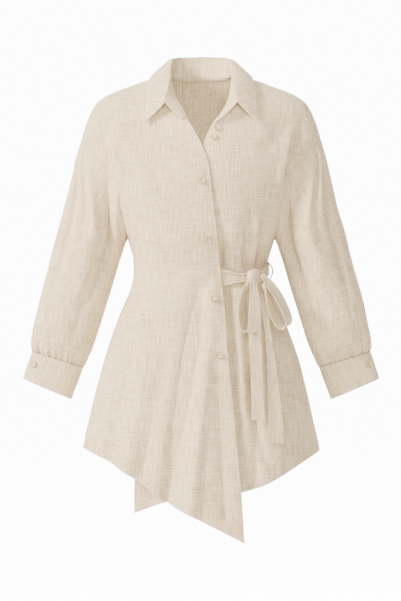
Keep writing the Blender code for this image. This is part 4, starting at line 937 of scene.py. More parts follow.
collar = {
    "apex": 0.86, "rightEnd": 0.3, "leftEnd": 0.326, "shoulder": 0.46, "wall": 0.0019,
    "across": 181, "standUp": 18, "leafOut": 42,
    "edgeStitch": 0.0055, "dentWidth": 0.0011, "dentDepth": 0.0004,
    "standRumple": ((1, 1, 0.02, 0, 0.0004),), "leafRumple": ((1, 1, 0.028, 0, 0.0006),),
    "standFlat": (0.52, 0.06), "standArea": 0.02, "leafFlat": (0.48, 0.085), "leafArea": 0.0335,
    # share of the way from the centre back, x, y, height of the fold
    "roll": (
        (0, 0, 0.047, 0.0495), (0.18, 0.029, 0.044, 0.049), (0.36, 0.0545, 0.029, 0.0465),
        (0.46, 0.064, 0.006, 0.042), (0.56, 0.0668, -0.032, 0.024), (0.66, 0.0682, -0.056, -0.003),
        (0.76, 0.0722, -0.072, -0.029), (0.86, 0.0776, -0.084, -0.0575), (0.93, 0.059, -0.089, -0.079),
        (1, 0.041, -0.0885, -0.093)),
    # share of the way, x, y, height of the leaf's outer edge
    "edge": (
        (0, 0, 0.065, -0.006), (0.18, 0.04, 0.063, -0.005), (0.34, 0.078, 0.053, 0.001),
        (0.43, 0.1, 0.032, 0.005), (0.5, 0.11, 0.006, 0.007), (0.6, 0.1165, -0.043, -0.017),
        (0.7, 0.1205, -0.063, -0.052), (0.8, 0.1232, -0.075, -0.086), (0.86, 0.1245, -0.0815, -0.102)),
}


def collarSeam(share, side):
    # the neck edge that the stand is sewn to, from the centre back (0) to its end (1)
    part = np.clip(share / collar["shoulder"], 0, 1)
    backX = body["neckHalfWidth"] * np.sin(part * math.pi / 2)
    halfWidth = body["upper"][0][1]
    start = ovalAngle(body["upper"][0][4] / halfWidth)
    across = (ovalAngle(backX / halfWidth) - start) / (math.pi - 2 * start)
    across = across if side < 0 else 1 - across
    behind = bodyPoint(backPanel, across, np.zeros_like(across))
    end = collar["rightEnd"] if side < 0 else collar["leftEnd"]
    level = end * np.clip((share - collar["shoulder"]) / (1 - collar["shoulder"]), 0, 1) ** 1.3
    down = np.arccos((1 - level) ** (body["power"] / 2)) * 2 / math.pi
    front = bodyPoint(rightFront if side < 0 else leftFront, np.ones_like(down), down)
    return np.where((share < collar["shoulder"])[..., None], behind, front)


def collarRoll(share, side):
    end = collar["rightEnd"] if side < 0 else collar["leftEnd"]
    longer = (end - collar["rightEnd"]) * np.clip((share - collar["apex"]) / (1 - collar["apex"]), 0, 1)
    x, y, z = readAll(collar["roll"], share)
    return np.stack([(x - longer * 0.45) * side, y, z - longer * 0.36], -1)


def collarLines(across, reach):
    share = np.abs(across) * reach
    left = (across < 0)[..., None]
    seam = np.where(left, collarSeam(share, -1), collarSeam(share, 1))
    roll = np.where(left, collarRoll(share, -1), collarRoll(share, 1))
    return share, np.where(across < 0, -1.0, 1.0), seam, roll


def standPoints(across, up):
    share, side, seam, roll = collarLines(across, 1.0)
    toward = unit(roll - seam)
    turned = ease((share - collar["shoulder"] + 0.06) / 0.16)[..., None]
    outward = unit(np.stack([side * 0.25, -np.ones_like(share), 0.35 * np.ones_like(share)], -1))
    start = seam + toward * 0.0002 + outward * 0.0016 * turned
    start = start + np.array([0, 0, 0.0008]) * turned * (1 - turned) * 4
    up = up[..., None]
    return start + (roll - start) * up + outward * 0.0015 * np.sin(np.pi * up) * turned


def leafPoints(across, out):
    share, side, seam, roll = collarLines(across, collar["apex"])
    x, y, z = readAll(collar["edge"], share)
    edge = np.stack([x * side, y, z], -1)
    upright = unit(roll - seam)
    start = roll + upright * 0.0022
    fall = edge - start
    reach = np.linalg.norm(fall, axis=-1, keepdims=True)
    aside = unit(fall - upright * np.sum(fall * upright, axis=-1, keepdims=True))
    start = start - aside * 0.001
    control = start + aside * reach * 0.26 + upright * 0.0045
    out = out[..., None]
    return (1 - out) ** 2 * start + 2 * out * (1 - out) * control + out ** 2 * edge


def collarGrid(point, rows):
    points = point(*shareGrid(np.linspace(-1, 1, collar["across"]), np.linspace(0, 1, rows)))
    return points, arcCut(points)


def addStand():
    points, cut = collarGrid(standPoints, collar["standUp"])
    normals = gridNormals(points, points * levelWay)
    half = collar["wall"] / 2
    points = points + normals * rumple(cut, collar["standRumple"], 41)[..., None]
    return addShell("collarStand", points + normals * half, points - normals * half, cut, doubleLinen)


def addLeaf():
    points, cut = collarGrid(leafPoints, collar["leafOut"])
    toEnd, toEdge = edgeDistances(points)
    rim = np.minimum(np.minimum(toEnd, toEnd[:, :1] - toEnd), toEdge)
    detail = stitchDent(rim, collar) + 0.0002 * ease((0.005 - rim) / 0.002)
    detail += rumple(cut, collar["leafRumple"], 43) * ease(rim / 0.015)
    return addCloth("collarLeaf", points, detail, collar["wall"], cut, doubleLinen, np.array([0, -0.3, 1]))


# The tie belt

belt = {
    "wall": 0.0018, "slitLevel": -0.427, "slitHeight": 0.021, "standOff": 0.004, "tuck": 0.0078,
    "frontLift": 0.006, "sideLift": 0.017, "widthCut": 0.03,
    "edgeStitch": 0.0022, "dentWidth": 0.0011, "dentDepth": 0.0004,
    # turns round the waist where it goes in, comes out and lifts towards the knot, with their lengths
    "goesIn": (-0.022, 0.044), "comesOut": (0.338, 0.045), "lifts": ((0.335, 0.02), (0.452, 0.058)),
    # turn round the waist (0 at the right side seam, front first), height, half width
    "line": (
        (0, -0.428, 0.015), (0.06, -0.429, 0.015), (0.2, -0.434, 0.0155), (0.29, -0.4368, 0.019),
        (0.345, -0.438, 0.0092), (0.375, -0.435, 0.008), (0.42, -0.427, 0.012), (0.48, -0.419, 0.013),
        (0.52, -0.418, 0.0145), (0.75, -0.418, 0.0155), (0.9, -0.423, 0.0155), (1, -0.428, 0.015)),
    # strands across the stretch to the knot: place, half width, height
    "strands": ((0.74, 0.2, 0.003), (0.42, 0.12, -0.0024), (-0.84, 0.14, 0.0024), (-0.6, 0.1, -0.002)),
    "frontRumple": ((1, 1, 0.012, 0, 0.0003),), "sideRumple": ((0.5, 1, 0.014, 0, 0.0007),),
    "knotCentre": (0.115, -0.4365), "knotSize": (0.0162, 0.013, 0.0174), "knotTurn": 38, "knotLean": -16,
    "knotRings": 60, "knotSpokes": 90, "knotPower": 0.82, "knotDrawn": (0.12, 0.1, 0.35),
    # the fan's depth, waves and centre, the bands' place, half width and height, and their slant
    "knotFan": (0.0009, 14.4, 1.6), "knotBands": ((0.62, 0.16, 0.0011), (0.36, 0.1, -0.0012)),
    "knotSlant": 0.25,
}

# Ribbon rows: x, y, height, and the width across as x, y, height
bow = {
    "rightLoop": (
        (0.1107, -0.106, -0.4409, 0.01, 0.004, 0), (0.1124, -0.115, -0.456, 0.014, 0.006, 0),
        (0.1144, -0.126, -0.4797, 0.0205, 0.008, 0), (0.1144, -0.134, -0.5078, 0.024, 0.008, 0),
        (0.1135, -0.137, -0.533, 0.0243, 0.008, 0), (0.111, -0.136, -0.548, 0.0235, 0.01, 0),
        (0.102, -0.132, -0.555, 0.02, 0.016, 0), (0.0906, -0.126, -0.5456, 0.012, 0.021, 0),
        (0.0867, -0.121, -0.5251, 0.0125, 0.021, 0), (0.0874, -0.117, -0.5013, 0.0125, 0.02, 0),
        (0.0915, -0.111, -0.4776, 0.012, 0.017, 0), (0.098, -0.105, -0.4582, 0.01, 0.012, 0),
        (0.1049, -0.101, -0.4441, 0.008, 0.006, 0)),
    "leftLoop": (
        (0.1306, -0.095, -0.433, 0.004, 0.013, 0.006), (0.148, -0.105, -0.453, 0.012, 0.02, 0.012),
        (0.1674, -0.111, -0.48, 0.0145, 0.02, 0.012), (0.1805, -0.113, -0.506, 0.0145, 0.0205, 0.011),
        (0.1885, -0.113, -0.529, 0.0145, 0.0205, 0.01), (0.1865, -0.113, -0.542, 0.014, 0.0205, 0.01),
        (0.1775, -0.114, -0.545, 0.013, 0.0205, 0.01), (0.167, -0.115, -0.537, 0.013, 0.0205, 0.009),
        (0.156, -0.114, -0.517, 0.013, 0.0205, 0.008), (0.149, -0.111, -0.492, 0.012, 0.0205, 0.007),
        (0.144, -0.106, -0.469, 0.01, 0.019, 0.006), (0.135, -0.1, -0.45, 0.004, 0.014, 0.004)),
    # x, height, half width across, standing off the front
    "shortTail": (
        (0.115, -0.4535, 0.0065, 0.015), (0.119, -0.485, 0.01, 0.01), (0.119, -0.556, 0.0105, 0.008),
        (0.1195, -0.64, 0.0125, 0.009), (0.1225, -0.7441, 0.0138, 0.008)),
    "longTail": (
        (0.1275, -0.451, 0.0048, 0.022), (0.1365, -0.495, 0.007, 0.021), (0.144, -0.556, 0.0055, 0.015),
        (0.1505, -0.62, 0.0095, 0.01), (0.1562, -0.7, 0.014, 0.01), (0.1613, -0.7945, 0.0168, 0.009)),
    "across": 25, "loopAlong": 150, "tailAlong": 170,
    "dish": 0.0008, "pleatDepth": 0.0026, "pleatWaves": 2.1,
    "edgeStitch": 0.0022, "dentWidth": 0.0008, "dentDepth": 0.0004,
    "loopPleats": 0.035, "tailPleats": 0.05, "rumple": ((0.7, 0.5, 0.012, 0, 0.0006),),
}


def frontY(x, z):
    # the outer face of the front before its folds, read at a place of the front view
    power = body["power"]
    faces = []
    level = np.clip(levelAt(x, z), 0, 1)
    for table, at in ((body["lower"], z), (body["upper"], level)):
        halfWidth = smoothRead(table, 1, at)
        share = np.clip(1 - (np.abs(x) / halfWidth) ** power, 0, 1) ** (1 / power)
        faces.append(-smoothRead(table, 2, at) * share)
    fullness = (1 - (1 - level) ** power) ** (1 / power)
    return np.where(z < body["underarm"], faces[0], faces[1] * fullness)


def beltPoint(turn, across):
    # turn goes round the waist: 0 at the right side seam, 0.25 at the front's middle
    z = smoothRead(belt["line"], 1, turn) + smoothRead(belt["line"], 2, turn) * across
    angle = turn * 2 * math.pi
    atBack = np.sin(angle) < 0
    halfWidth = smoothRead(body["lower"], 1, z)
    depth = np.where(atBack, smoothRead(body["lower"], 3, z), smoothRead(body["lower"], 2, z))
    aside, forward = oval(halfWidth, depth, angle)
    x = -aside
    y = np.where(atBack, forward, -forward)
    # outside the shirt, but inside the right front from the slit to its edge
    near = np.where(turn > 0.7, turn - 1, turn)
    (first, fadeIn), (last, fadeOut) = belt["goesIn"], belt["comesOut"]
    inside = ease((near - first) / fadeIn) * ease((last - near) / fadeOut)
    (front, frontRun), (side, sideRun) = belt["lifts"]
    lift = np.where(turn < 0.38, belt["frontLift"] * ease((turn - front) / frontRun),
                    belt["sideLift"] * ease((side - turn) / sideRun))
    push = belt["standOff"] - belt["tuck"] * inside + lift
    return pushedOut(x, y, z, halfWidth, depth, push)


def addBeltStretch(name, turns, detail):
    u, v = shareGrid(turns, np.linspace(1, -1, 34))
    points = np.where((u > 1)[..., None], beltPoint(u - 1, v), beltPoint(u, v))
    cut = arcCut(points)
    return addCloth(name, points, detail(u, v, cut), belt["wall"], cut, beltLinen, points * levelWay)[0]


def frontPleats(turn, across, cut):
    # a rolled upper strand, a flat middle and a thin lower strand, closing up towards the knot
    shown = ease((turn - 0.285) / 0.03)
    strands = ridges(across, belt["strands"])
    strands += 0.001 * ease((turn - 0.325) / 0.03) * np.cos(across * 2.5 * math.pi)
    return (strands - 0.0008) * shown + rumple(cut, belt["frontRumple"], 51)


def sidePleats(turn, across, cut):
    # gathered near the knot, flat and softly creased round the back
    tight = ease((0.445 - turn) / 0.05)
    pleats = 0.0012 * np.cos(across * 2.6 * math.pi + 0.6) * tight
    edges = stitchDent((1 - np.abs(across)) * belt["widthCut"] / 2, belt)
    return pleats + edges * (1 - tight) + rumple(cut, belt["sideRumple"], 52)


def readRows(rows, samples):
    # all columns of a row table, smooth along its rows, each as a column of a grid
    table = [(i, *row) for i, row in enumerate(rows)]
    return [values[:, None] for values in readAll(table, np.linspace(0, len(rows) - 1, samples))]


def ribbonPoints(rows, samples, across):
    x, y, z, *width = readRows(rows, samples)
    shares = np.linspace(-0.5, 0.5, across)
    return np.stack([centre + wide * shares for centre, wide in zip((x, y, z), width)], -1)


def tailPoints(rows, samples, across):
    x, z, halfWidth, standOff = readRows(rows, samples)
    near = 0.004
    shares = np.linspace(-1, 1, across)
    slope = (frontY(x + near, z) - frontY(x - near, z)) / (2 * near)
    y = frontY(x, z) - standOff + 0.5 * np.clip(slope, -0.7, 0.9) * halfWidth * shares
    return np.stack([x + halfWidth * shares, y, z * np.ones_like(shares)], -1)


def addRibbon(name, points, pleatLength, seed, bothEnds=False):
    # pleated where it leaves the knot, then flat with a stitched edge on both sides
    cut = arcCut(points)
    across = np.linspace(-1, 1, points.shape[1])
    run = -cut[..., 1]
    tight = ease(1 - run / pleatLength)
    if bothEnds:
        tight = np.maximum(tight, ease(1 - (run.max() - run) / pleatLength))
    rim = (1 - np.abs(across)) * np.abs(cut[:, -1:, 0])
    flat = bow["dish"] * (across ** 2 - 0.4) + stitchDent(rim, bow)
    pleats = bow["pleatDepth"] * np.cos(across * bow["pleatWaves"] * math.pi + 0.5 * seed)
    detail = pleats * tight + flat * (1 - tight) + rumple(cut, bow["rumple"], seed)
    facing = np.array([0, -1, 0])
    return addCloth(name, points, detail, belt["wall"], cut, beltLinen, facing, belt["wall"] / 2)


def addKnot():
    # a soft wrapped knot, creased where the bow and the tails leave it
    rings, spokes, power = belt["knotRings"], belt["knotSpokes"], belt["knotPower"]
    around, polar = shareGrid(np.linspace(0, 2 * math.pi, spokes + 1), np.linspace(0, math.pi, rings))
    x, y, z = np.sin(polar) * np.cos(around), np.sin(polar) * np.sin(around), np.cos(polar)
    share, place, halfWidth = belt["knotDrawn"]
    drawn = 1 - share * bell((x - place) / halfWidth) * (1 - np.abs(z))
    sizes = belt["knotSize"]
    points = np.stack([signedPower(x, power) * sizes[0], signedPower(y, power) * sizes[1] * drawn,
                       signedPower(z, power) * sizes[2]], -1)
    turned = Matrix.Rotation(math.radians(belt["knotTurn"]), 3, "Z")
    turned = turned @ Matrix.Rotation(math.radians(belt["knotLean"]), 3, "Y")
    points = points @ np.array(turned).T
    x0, z0 = belt["knotCentre"]
    y0 = float(frontY(np.array(x0 - 0.012), np.array(z0))) - 0.75 * sizes[1] - 0.0032
    # creases fan out from the top of the wrap to the bow below, and one runs under the belt's end
    depth, waves, centre = belt["knotFan"]
    fan = depth * np.cos(waves * np.arctan2(x, z + centre) + 0.4) * ease((0.55 - z) / 0.9)
    band = ridges(z + belt["knotSlant"] * x, belt["knotBands"])
    crease = ((fan + band) * ease(np.sin(polar) * 2))[..., None]
    points = points + unit(points) * crease + np.array([x0, y0, z0])
    cut = np.stack([(around - math.pi) * sizes[0], -polar * sizes[2]], -1)
    index = np.arange(rings * spokes).reshape(rings, spokes)
    faces = gridQuads(np.concatenate([index, index[:, :1]], axis=1))
    corners = gridQuads(np.arange(rings * (spokes + 1)).reshape(rings, spokes + 1))
    mesh = clothMesh("beltKnot", points[:, :-1].reshape(-1, 3), faces, cut, corners, beltLinen)
    soft = bmesh.new()
    soft.from_mesh(mesh)
    bmesh.ops.remove_doubles(soft, verts=soft.verts, dist=1e-6)
    bmesh.ops.recalc_face_normals(soft, faces=soft.faces)
    soft.to_mesh(mesh)
    soft.free()
    print("made beltKnot")
    return addObject("beltKnot", mesh)


# Buttons, with four holes and crossed thread

buttons = {
    "radius": 0.007, "height": 0.0038, "seat": 0.0009, "sides": 48, "holeRadius": 0.00075,
    "holeSpread": 0.00135, "holeSides": 14, "sharpAngle": 38,
    "threadRadius": 0.00032, "threadLevel": 0.56, "threadArch": 0.0004, "threadDip": 0.0012,
    "fastened": ((0.0019, -0.2291), (0.0146, -0.3565), (0.0272, -0.4838), (0.0389, -0.6054)),
    "neck": ((0.0346, -0.112), (0.027, -0.133)), "cuff": (0.3668, -0.627),
    # radius and height as shares, from the middle of the underside round to the middle on top
    "profile": (
        (0, 0), (0.52, 0), (0.74, 0.08), (0.9, 0.3), (1, 0.62), (0.985, 0.8), (0.94, 0.94), (0.87, 1),
        (0.79, 0.97), (0.71, 0.8), (0.62, 0.62), (0.5, 0.56), (0, 0.54)),
}


def buttonMesh():
    sides = buttons["sides"]
    blankMesh = bmesh.new()
    rings = []
    for shareOut, shareUp in buttons["profile"]:
        radius, height = shareOut * buttons["radius"], shareUp * buttons["height"]
        angles = [2 * math.pi * i / sides for i in range(sides if shareOut else 1)]
        rings.append([blankMesh.verts.new((radius * math.cos(angle), radius * math.sin(angle), height))
                      for angle in angles])
    for low, high in zip(rings, rings[1:]):
        for i in range(sides):
            k = (i + 1) % sides
            corners = (low[i % len(low)], low[k % len(low)], high[k % len(high)], high[i % len(high)])
            blankMesh.faces.new(list(dict.fromkeys(corners)))
    bmesh.ops.recalc_face_normals(blankMesh, faces=blankMesh.faces)
    turn = blankMesh.loops.layers.uv.new("turn")
    for face in blankMesh.faces:
        for corner in face.loops:
            place = corner.vert.co
            corner[turn].uv = (math.hypot(place.x, place.y) / buttons["radius"], place.z / buttons["height"])
    drill = bmesh.new()
    for x in (-1, 1):
        for y in (-1, 1):
            place = Matrix.Translation((x * buttons["holeSpread"], y * buttons["holeSpread"], 0.001))
            radius = buttons["holeRadius"]
            bmesh.ops.create_cone(drill, cap_ends=True, segments=buttons["holeSides"], matrix=place,
                                  depth=0.01, radius1=radius, radius2=radius)
    blank, cutter = fromBmesh("buttonBlank", blankMesh), fromBmesh("holeDrill", drill)
    cutting = blank.modifiers.new("holes", "BOOLEAN")
    cutting.object = cutter
    cutting.solver = "EXACT"
    drilled = bakedMesh("button", blank)
    bpy.data.objects.remove(cutter)
    drilled.set_sharp_from_angle(angle=math.radians(buttons["sharpAngle"]))
    drilled.materials.append(ivory)
    return drilled


def faceAt(piece, x, z):
    # the place and normal of a piece where a line from the front meets it
    return piece.ray_cast(Vector((x, -1, z)), Vector((0, 1, 0)))[1:3]


def placeButton(name, node, blank, place, normal):
    spin = Vector((0, 0, 1)).rotation_difference(normal).to_matrix().to_4x4()
    mesh = blank.copy()
    mesh.transform(Matrix.Translation(place + normal * buttons["seat"]) @ spin)
    joinFrame(addObject(name, mesh), node)
    return spin


# Stitches: one short waxed stitch laid along every path by Geometry Nodes

stitching = {"length": 0.0026, "gap": 0.0006, "radius": 0.00024, "lift": 0.0001, "seed": 5,
             "smallest": (0.9, 0.9, 0.86), "largest": (1.1, 1.1, 1.02)}


def stitchTree():
    tree = bpy.data.node_groups.new("layStitches", "GeometryNodeTree")
    for name, kind in (("Paths", "Geometry"), ("Stitch length", "Float"), ("Gap", "Float"),
                       ("Thread radius", "Float"), ("Seed", "Int"), ("Thread", "Material")):
        tree.interface.new_socket(name, in_out="INPUT", socket_type="NodeSocket" + kind)
    tree.interface.new_socket("Stitches", in_out="OUTPUT", socket_type="NodeSocketGeometry")
    link = tree.links.new
    given = addNode(tree, "NodeGroupInput").outputs
    toCurve = addNode(tree, "GeometryNodeMeshToCurve")
    resample = addNode(tree, "GeometryNodeResampleCurve", mode="LENGTH")
    toPoints = addNode(tree, "GeometryNodeCurveToPoints", mode="EVALUATED")
    link(given["Paths"], toCurve.inputs[0])
    link(toCurve.outputs[0], resample.inputs["Curve"])
    link(mathNode(tree, "ADD", given["Stitch length"], given["Gap"]), resample.inputs["Length"])
    link(resample.outputs[0], toPoints.inputs["Curve"])

    # one stitch: a small capsule along Z, a little flattened
    capsule = addNode(tree, "GeometryNodeMeshUVSphere")
    setInputs(capsule, {"Segments": 6, "Rings": 5, "Radius": 1})
    shape = addNode(tree, "ShaderNodeCombineXYZ")
    half = mathNode(tree, "MULTIPLY", given["Stitch length"], 0.5)
    for socket, size in zip(shape.inputs, (given["Thread radius"], given["Thread radius"], half)):
        link(size, socket)
    resize = addNode(tree, "GeometryNodeTransform")
    link(capsule.outputs["Mesh"], resize.inputs["Geometry"])
    link(shape.outputs[0], resize.inputs["Scale"])

    # no two stitches are quite alike
    uneven = addNode(tree, "FunctionNodeRandomValue", data_type="FLOAT_VECTOR")
    setInputs(uneven, {"Min": stitching["smallest"], "Max": stitching["largest"]})
    link(given["Seed"], uneven.inputs["Seed"])
    lay = addNode(tree, "GeometryNodeInstanceOnPoints")
    link(toPoints.outputs["Points"], lay.inputs["Points"])
    link(resize.outputs[0], lay.inputs["Instance"])
    link(toPoints.outputs["Rotation"], lay.inputs["Rotation"])
    link(uneven.outputs["Value"], lay.inputs["Scale"])
    real = addNode(tree, "GeometryNodeRealizeInstances")
    coat = addNode(tree, "GeometryNodeSetMaterial")
    link(lay.outputs[0], real.inputs[0])
    link(real.outputs[0], coat.inputs["Geometry"])
    link(given["Thread"], coat.inputs["Material"])
    link(coat.outputs[0], addNode(tree, "NodeGroupOutput").inputs[0])
    return tree


def layStitches(name, paths):
    # paths are lists of points already lifted off the cloth
    lines = bmesh.new()
    for path in paths:
        corners = [lines.verts.new(point) for point in path]
        for first, second in zip(corners, corners[1:]):
            lines.edges.new((first, second))
    guide = fromBmesh(name + "Paths", lines)
    sewing = guide.modifiers.new("sewing", "NODES")
    sewing.node_group = stitches
    values = {"Stitch length": stitching["length"], "Gap": stitching["gap"],
              "Thread radius": stitching["radius"], "Seed": stitching["seed"], "Thread": thread}
    for item in stitches.interface.items_tree:
        if item.in_out == "INPUT" and item.name in values:
            sewing[item.identifier] = values[item.name]
    mesh = bakedMesh(name, guide)
    print("sewed", name, len(mesh.polygons), "faces")
    return joinFrame(addObject(name, mesh))


def gridPath(points, normals, distance, along, first=0.0, last=1.0, count=260, lift=0.0):
    # a path on a grid, a distance in from one edge: along is "end", "start", "top" or "bottom"
    toEnd, toBottom = edgeDistances(points)
    lines = points + normals * (stitching["lift"] + lift)
    if along in ("end", "start"):
        reach = toEnd if along == "end" else toEnd[:, :1] - toEnd
    else:
        lines = lines.transpose(1, 0, 2)
        reach = (toBottom if along == "bottom" else toBottom[:1] - toBottom).T
    path = []
    for line, away in zip(lines, reach):
        order = np.argsort(away)
        path.append([np.interp(distance, away[order], line[order, axis]) for axis in range(3)])
    path = np.array(path)
    run = np.concatenate([[0], np.cumsum(np.linalg.norm(np.diff(path, axis=0), axis=-1))])
    at = np.linspace(first * run[-1], last * run[-1], count)
    return np.stack([np.interp(at, run, path[:, axis]) for axis in range(3)], -1).tolist()


# Making the shirt

panels = [addPanel(panel) for panel in (rightFront, leftFront, backPanel)]
rightFrontCloth, leftFrontCloth, backCloth = (piece for piece, *_ in panels)
rightSleeveCloth = addSleeve(-1, "rightSleeveCloth")
leftSleeveCloth = addSleeve(1, "leftSleeveCloth")
cuffs = [addCuff(side, name) for side, name in ((-1, "rightCuffCloth"), (1, "leftCuffCloth"))]
collarStand = addStand()
collarLeaf, *leafGrid = addLeaf()
frontTurns = np.concatenate([np.linspace(0.03, 0.27, 70, endpoint=False), np.linspace(0.27, 0.3554, 70)])
beltFront = addBeltStretch("beltFront", frontTurns, frontPleats)
beltAround = addBeltStretch("beltAround", np.linspace(0.3934, 1.027, 260), sidePleats)
beltKnot = addKnot()
ribbons = []
for name, rows, seed in (("bowLoopRight", "rightLoop", 61), ("bowLoopLeft", "leftLoop", 62)):
    points = ribbonPoints(bow[rows], bow["loopAlong"], bow["across"])
    ribbons.append(addRibbon(name, points, bow["loopPleats"], seed, True))
for name, rows, seed in (("tailShort", "shortTail", 63), ("tailLong", "longTail", 64)):
    points = tailPoints(bow[rows], bow["tailAlong"], bow["across"])
    ribbons.append(addRibbon(name, points, bow["tailPleats"], seed))
print("shirt and belt made")

stitches = stitchTree()
layStitches("hemStitches", [gridPath(*grid, body["hemTurn"], "bottom") for _, *grid in panels])
layStitches("frontEdgeStitches", [gridPath(*grid, body["edgeTurn"], "end", 0.14, 0.995, 420)
                                  for _, *grid in panels[:2]])
layStitches("cuffStitches", [gridPath(*grid, cuff["edgeStitch"], edge)
                             for _, *grid in cuffs for edge in ("top", "bottom")])
collarStitches = layStitches("collarStitches", [
    gridPath(*leafGrid, collar["edgeStitch"], edge, first, last)
    for edge, first, last in (("bottom", 0.012, 0.988), ("start", 0.03, 0.92), ("end", 0.03, 0.92))])
layStitches("beltStitches", [gridPath(*grid, bow["edgeStitch"], edge, 0.08, 0.97, lift=belt["wall"] / 2)
                             for _, *grid in ribbons for edge in ("end", "start")])

blank = buttonMesh()
crossPaths = []
fastenings = [("%sButton%d" % (kind, i + 1), "%s_button_%d" % (kind, i + 1), carrier, x, z)
              for kind, carrier, places in (("front", rightFrontCloth, buttons["fastened"]),
                                            ("neck", leftFrontCloth, buttons["neck"]))
              for i, (x, z) in enumerate(places)]
cuffX, cuffZ = buttons["cuff"]
fastenings += [("rightCuffButton", "right_cuff_button", cuffs[0][0], -cuffX, cuffZ),
               ("leftCuffButton", "left_cuff_button", cuffs[1][0], cuffX, cuffZ)]
for name, node, carrier, x, z in fastenings:
    place, normal = faceAt(carrier, x, z)
    spin = placeButton(name, node, blank, place, normal)
    seat = place + normal * buttons["seat"]
    top = buttons["height"] * buttons["threadLevel"]
    spread = buttons["holeSpread"]
    for way in (-1, 1):
        cross = []
        for share in np.linspace(-1, 1, 9):
            dip = max(0, abs(share) - 0.9) * 10
            arch = top + buttons["threadArch"] * (1 - share ** 2) - buttons["threadDip"] * dip
            cross.append(seat + spin @ Vector((spread * share, spread * way, arch)))
        crossPaths.append(cross)


def addThreadBars(name, paths, radius, coat=thread):
    # round bars of thread along short paths
    curve = bpy.data.curves.new(name, "CURVE")
    curve.dimensions = "3D"
    curve.bevel_depth = radius
    curve.bevel_resolution = 2
    curve.use_fill_caps = True
    for path in paths:
        spline = curve.splines.new("POLY")
        spline.points.add(len(path) - 1)
        for target, point in zip(spline.points, path):
            target.co = (*point, 1)
    mesh = bakedMesh(name, addObject(name, curve))
    mesh.materials.clear()
    mesh.materials.append(coat)
    return joinFrame(addObject(name, mesh))


addThreadBars("buttonThreads", crossPaths, buttons["threadRadius"])

# Worked buttonholes under the fastened buttons, lying across the front
hole = {"half": 0.0092, "rise": 0.0011, "stitches": 30, "radius": 0.00028, "inner": 0.15, "lift": 0.00022,
        "aside": 0.003}
worked = []
for x, z in buttons["fastened"]:
    for at in np.linspace(-hole["half"], hole["half"], hole["stitches"]):
        for way in (-1, 1):
            ends = [faceAt(rightFrontCloth, x + at - hole["aside"], z + way * hole["rise"] * share)
                    for share in (hole["inner"], 1.0)]
            worked.append([place + normal * hole["lift"] for place, normal in ends])
addThreadBars("buttonholes", worked, hole["radius"])

# A worked thread bar that carries the belt at the left side seam
loop = {"top": -0.4035, "length": 0.039, "angle": 168, "radius": 0.001, "twist": 7, "spread": 0.0008,
        "bow": 0.0135, "seat": 0.0004, "points": 120}


def loopPaths():
    angle = np.array(math.radians(loop["angle"]))
    centre = []
    shares = np.linspace(0, 1, loop["points"])
    for share in shares:
        z = loop["top"] - loop["length"] * share
        halfWidth, front, _ = readAll(body["lower"], z)
        aside, forward = (float(value) for value in oval(halfWidth, front, angle))
        off = loop["seat"] + loop["bow"] * abs(math.sin(math.pi * share)) ** 0.6
        out = Vector((-aside, -forward * 0.5, 0)).normalized()
        centre.append(Vector((-aside, -forward, z)) + out * off)
    paths = []
    for strand in range(3):
        spins = (strand / 3 + loop["twist"] * shares) * 2 * math.pi
        paths.append([point + loop["spread"] * Vector((math.cos(spin), math.sin(spin), 0))
                      for point, spin in zip(centre, spins)])
    return paths


threadLoop = addThreadBars("beltThreadLoop", loopPaths(), loop["radius"], loopThread)
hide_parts("belt_thread_loop")
print("buttons, buttonholes and thread loop made")


# Each piece joined to the frame, with its imported part hidden

sheets = [(rightFrontCloth, "right_front", "linen", rightFront, "hung", ["back"]),
          (leftFrontCloth, "left_front", "linen", leftFront, "hung", ["back"]),
          (backCloth, "back", "linen", backPanel, "hung", ["collar_stand"]),
          (rightSleeveCloth, "right_sleeve", "linen", sleeve, "gathered", ["right_front", "back"]),
          (leftSleeveCloth, "left_sleeve", "linen", sleeve, "gathered", ["left_front", "back"]),
          (cuffs[0][0], "right_cuff", "linen_double", cuff, "hung", ["right_sleeve"]),
          (cuffs[1][0], "left_cuff", "linen_double", cuff, "hung", ["left_sleeve"])]
for piece, node, slot, look, held, rests in sheets:
    finishSheet(piece, node)
finishSheet(collarStand, "collar_stand")
finishSheet(collarLeaf, "collar_leaf")
strips = [(beltFront, "belt_front", 0.28, "gathered", ["left_front"]),
          (beltAround, "belt_around", 0.49, "gathered", ["back"])]
strips += [(piece, node, length, held, ["belt_knot"]) for (piece, *_), node, length, held in zip(
    ribbons, ("bow_loop_right", "bow_loop_left", "tail_short", "tail_long"), (0.235, 0.255, 0.3, 0.355),
    ("gathered", "gathered", "hung", "hung"))]
for piece, node, length, held, rests in strips:
    finishSheet(piece, node)
joinFrame(beltKnot, "belt_knot")
print("pieces joined to the frame")

# Studio: a pale floor, soft daylight from the upper left, and the photograph's camera
studio = {
    "floorHeight": -1.45, "floorSize": 60.0, "floorTone": (0.93, 0.93, 0.925), "worldTone": (1.0, 1.0, 1.0),
    "worldLight": 0.76, "backdropLight": 12.0, "floorLight": 12.0,
    "camera": (-0.00154, -6.0, -0.4873), "lens": 163.4,
    "lampTone": (1.0, 0.89, 0.72),
    # name, place, aim, size, power
    "lamps": (
        ("keyLight", (-4.7, -2.5, 2.7), (0.0, 0.0, -0.45), 1.7, 1360.0),
        ("fillLight", (0.6, -5.2, 1.9), (0.0, 0.0, -0.5), 2.4, 225.0),
        ("topLight", (0.0, 1.2, 3.2), (0.0, 0.0, -0.4), 2.2, 140.0),
        ("backLight", (3.0, 3.6, 1.6), (0.0, 0.0, -0.5), 2.0, 210.0)),
    "spot": ("neckSpot", (0.1, -3.2, 0.55), (0.0, 0.05, -0.085), 0.12, 760.0), "spotAngle": 4.0,
}


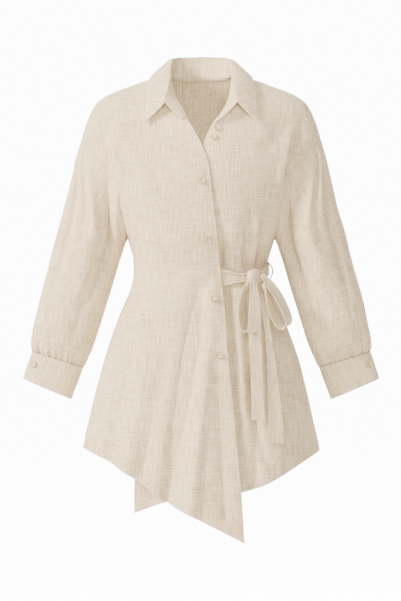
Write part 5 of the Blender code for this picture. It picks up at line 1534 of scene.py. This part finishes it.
def addLamp(kind, name, place, aim, size, power):
    lamp = bpy.data.lights.new(name, kind)
    lamp.energy = power
    lamp.color = studio["lampTone"]
    if kind == "AREA":
        lamp.shape = "DISK"
        lamp.size = size
    else:
        lamp.spot_size = math.radians(studio["spotAngle"])
        lamp.spot_blend = 1.0
        lamp.shadow_soft_size = size
    holder = addObject(name, lamp)
    holder.location = place
    holder.rotation_euler = (Vector(aim) - Vector(place)).to_track_quat("-Z", "Y").to_euler()


def buildStudio():
    half, level = studio["floorSize"] / 2, studio["floorHeight"]
    mesh = bpy.data.meshes.new("studioFloor")
    mesh.from_pydata([(-half, -half, level), (half, -half, level), (half, half, level), (-half, half, level)],
                     [], [(0, 1, 2, 3)])
    material, tree, shader = newMaterial("studio paper", {"Roughness": 0.9, "Emission Color": (1, 1, 1, 1)})
    place = addNode(tree, "ShaderNodeTexCoord").outputs["Object"]
    grain = stretchedNoise(tree, place, (30, 30, 30), 2)
    tone = studio["floorTone"]
    paper = addRamp(tree, grain, [value * 0.985 for value in tone], tone)
    tree.links.new(paper, shader.inputs["Base Color"])
    # the paper is lit like the backdrop to the camera, and throws no light of its own on the shirt
    seen = addNode(tree, "ShaderNodeLightPath").outputs["Is Camera Ray"]
    tree.links.new(mathNode(tree, "MULTIPLY", seen, studio["floorLight"]), shader.inputs["Emission Strength"])
    mesh.materials.append(material)
    addObject("studioFloor", mesh)
    world = bpy.data.worlds.new("studio")
    bpy.context.scene.world = world
    world.use_nodes = True
    tree = world.node_tree
    sky = tree.nodes["Background"]
    sky.inputs["Color"].default_value = (*studio["worldTone"], 1)
    # the backdrop looks brighter to the camera than the light that it throws on the shirt
    seen = addNode(tree, "ShaderNodeLightPath").outputs["Is Camera Ray"]
    extra = mathNode(tree, "MULTIPLY", seen, studio["backdropLight"])
    tree.links.new(mathNode(tree, "ADD", extra, studio["worldLight"]), sky.inputs["Strength"])
    for lamp in studio["lamps"]:
        addLamp("AREA", *lamp)
    addLamp("SPOT", *studio["spot"])
    camera = bpy.data.cameras.new("photoCamera")
    camera.lens = studio["lens"]
    camera.sensor_width = 36
    holder = addObject("photoCamera", camera)
    holder.location = studio["camera"]
    holder.rotation_euler = (math.radians(90), 0, 0)
    bpy.context.scene.camera = holder


buildStudio()
print("studio ready")
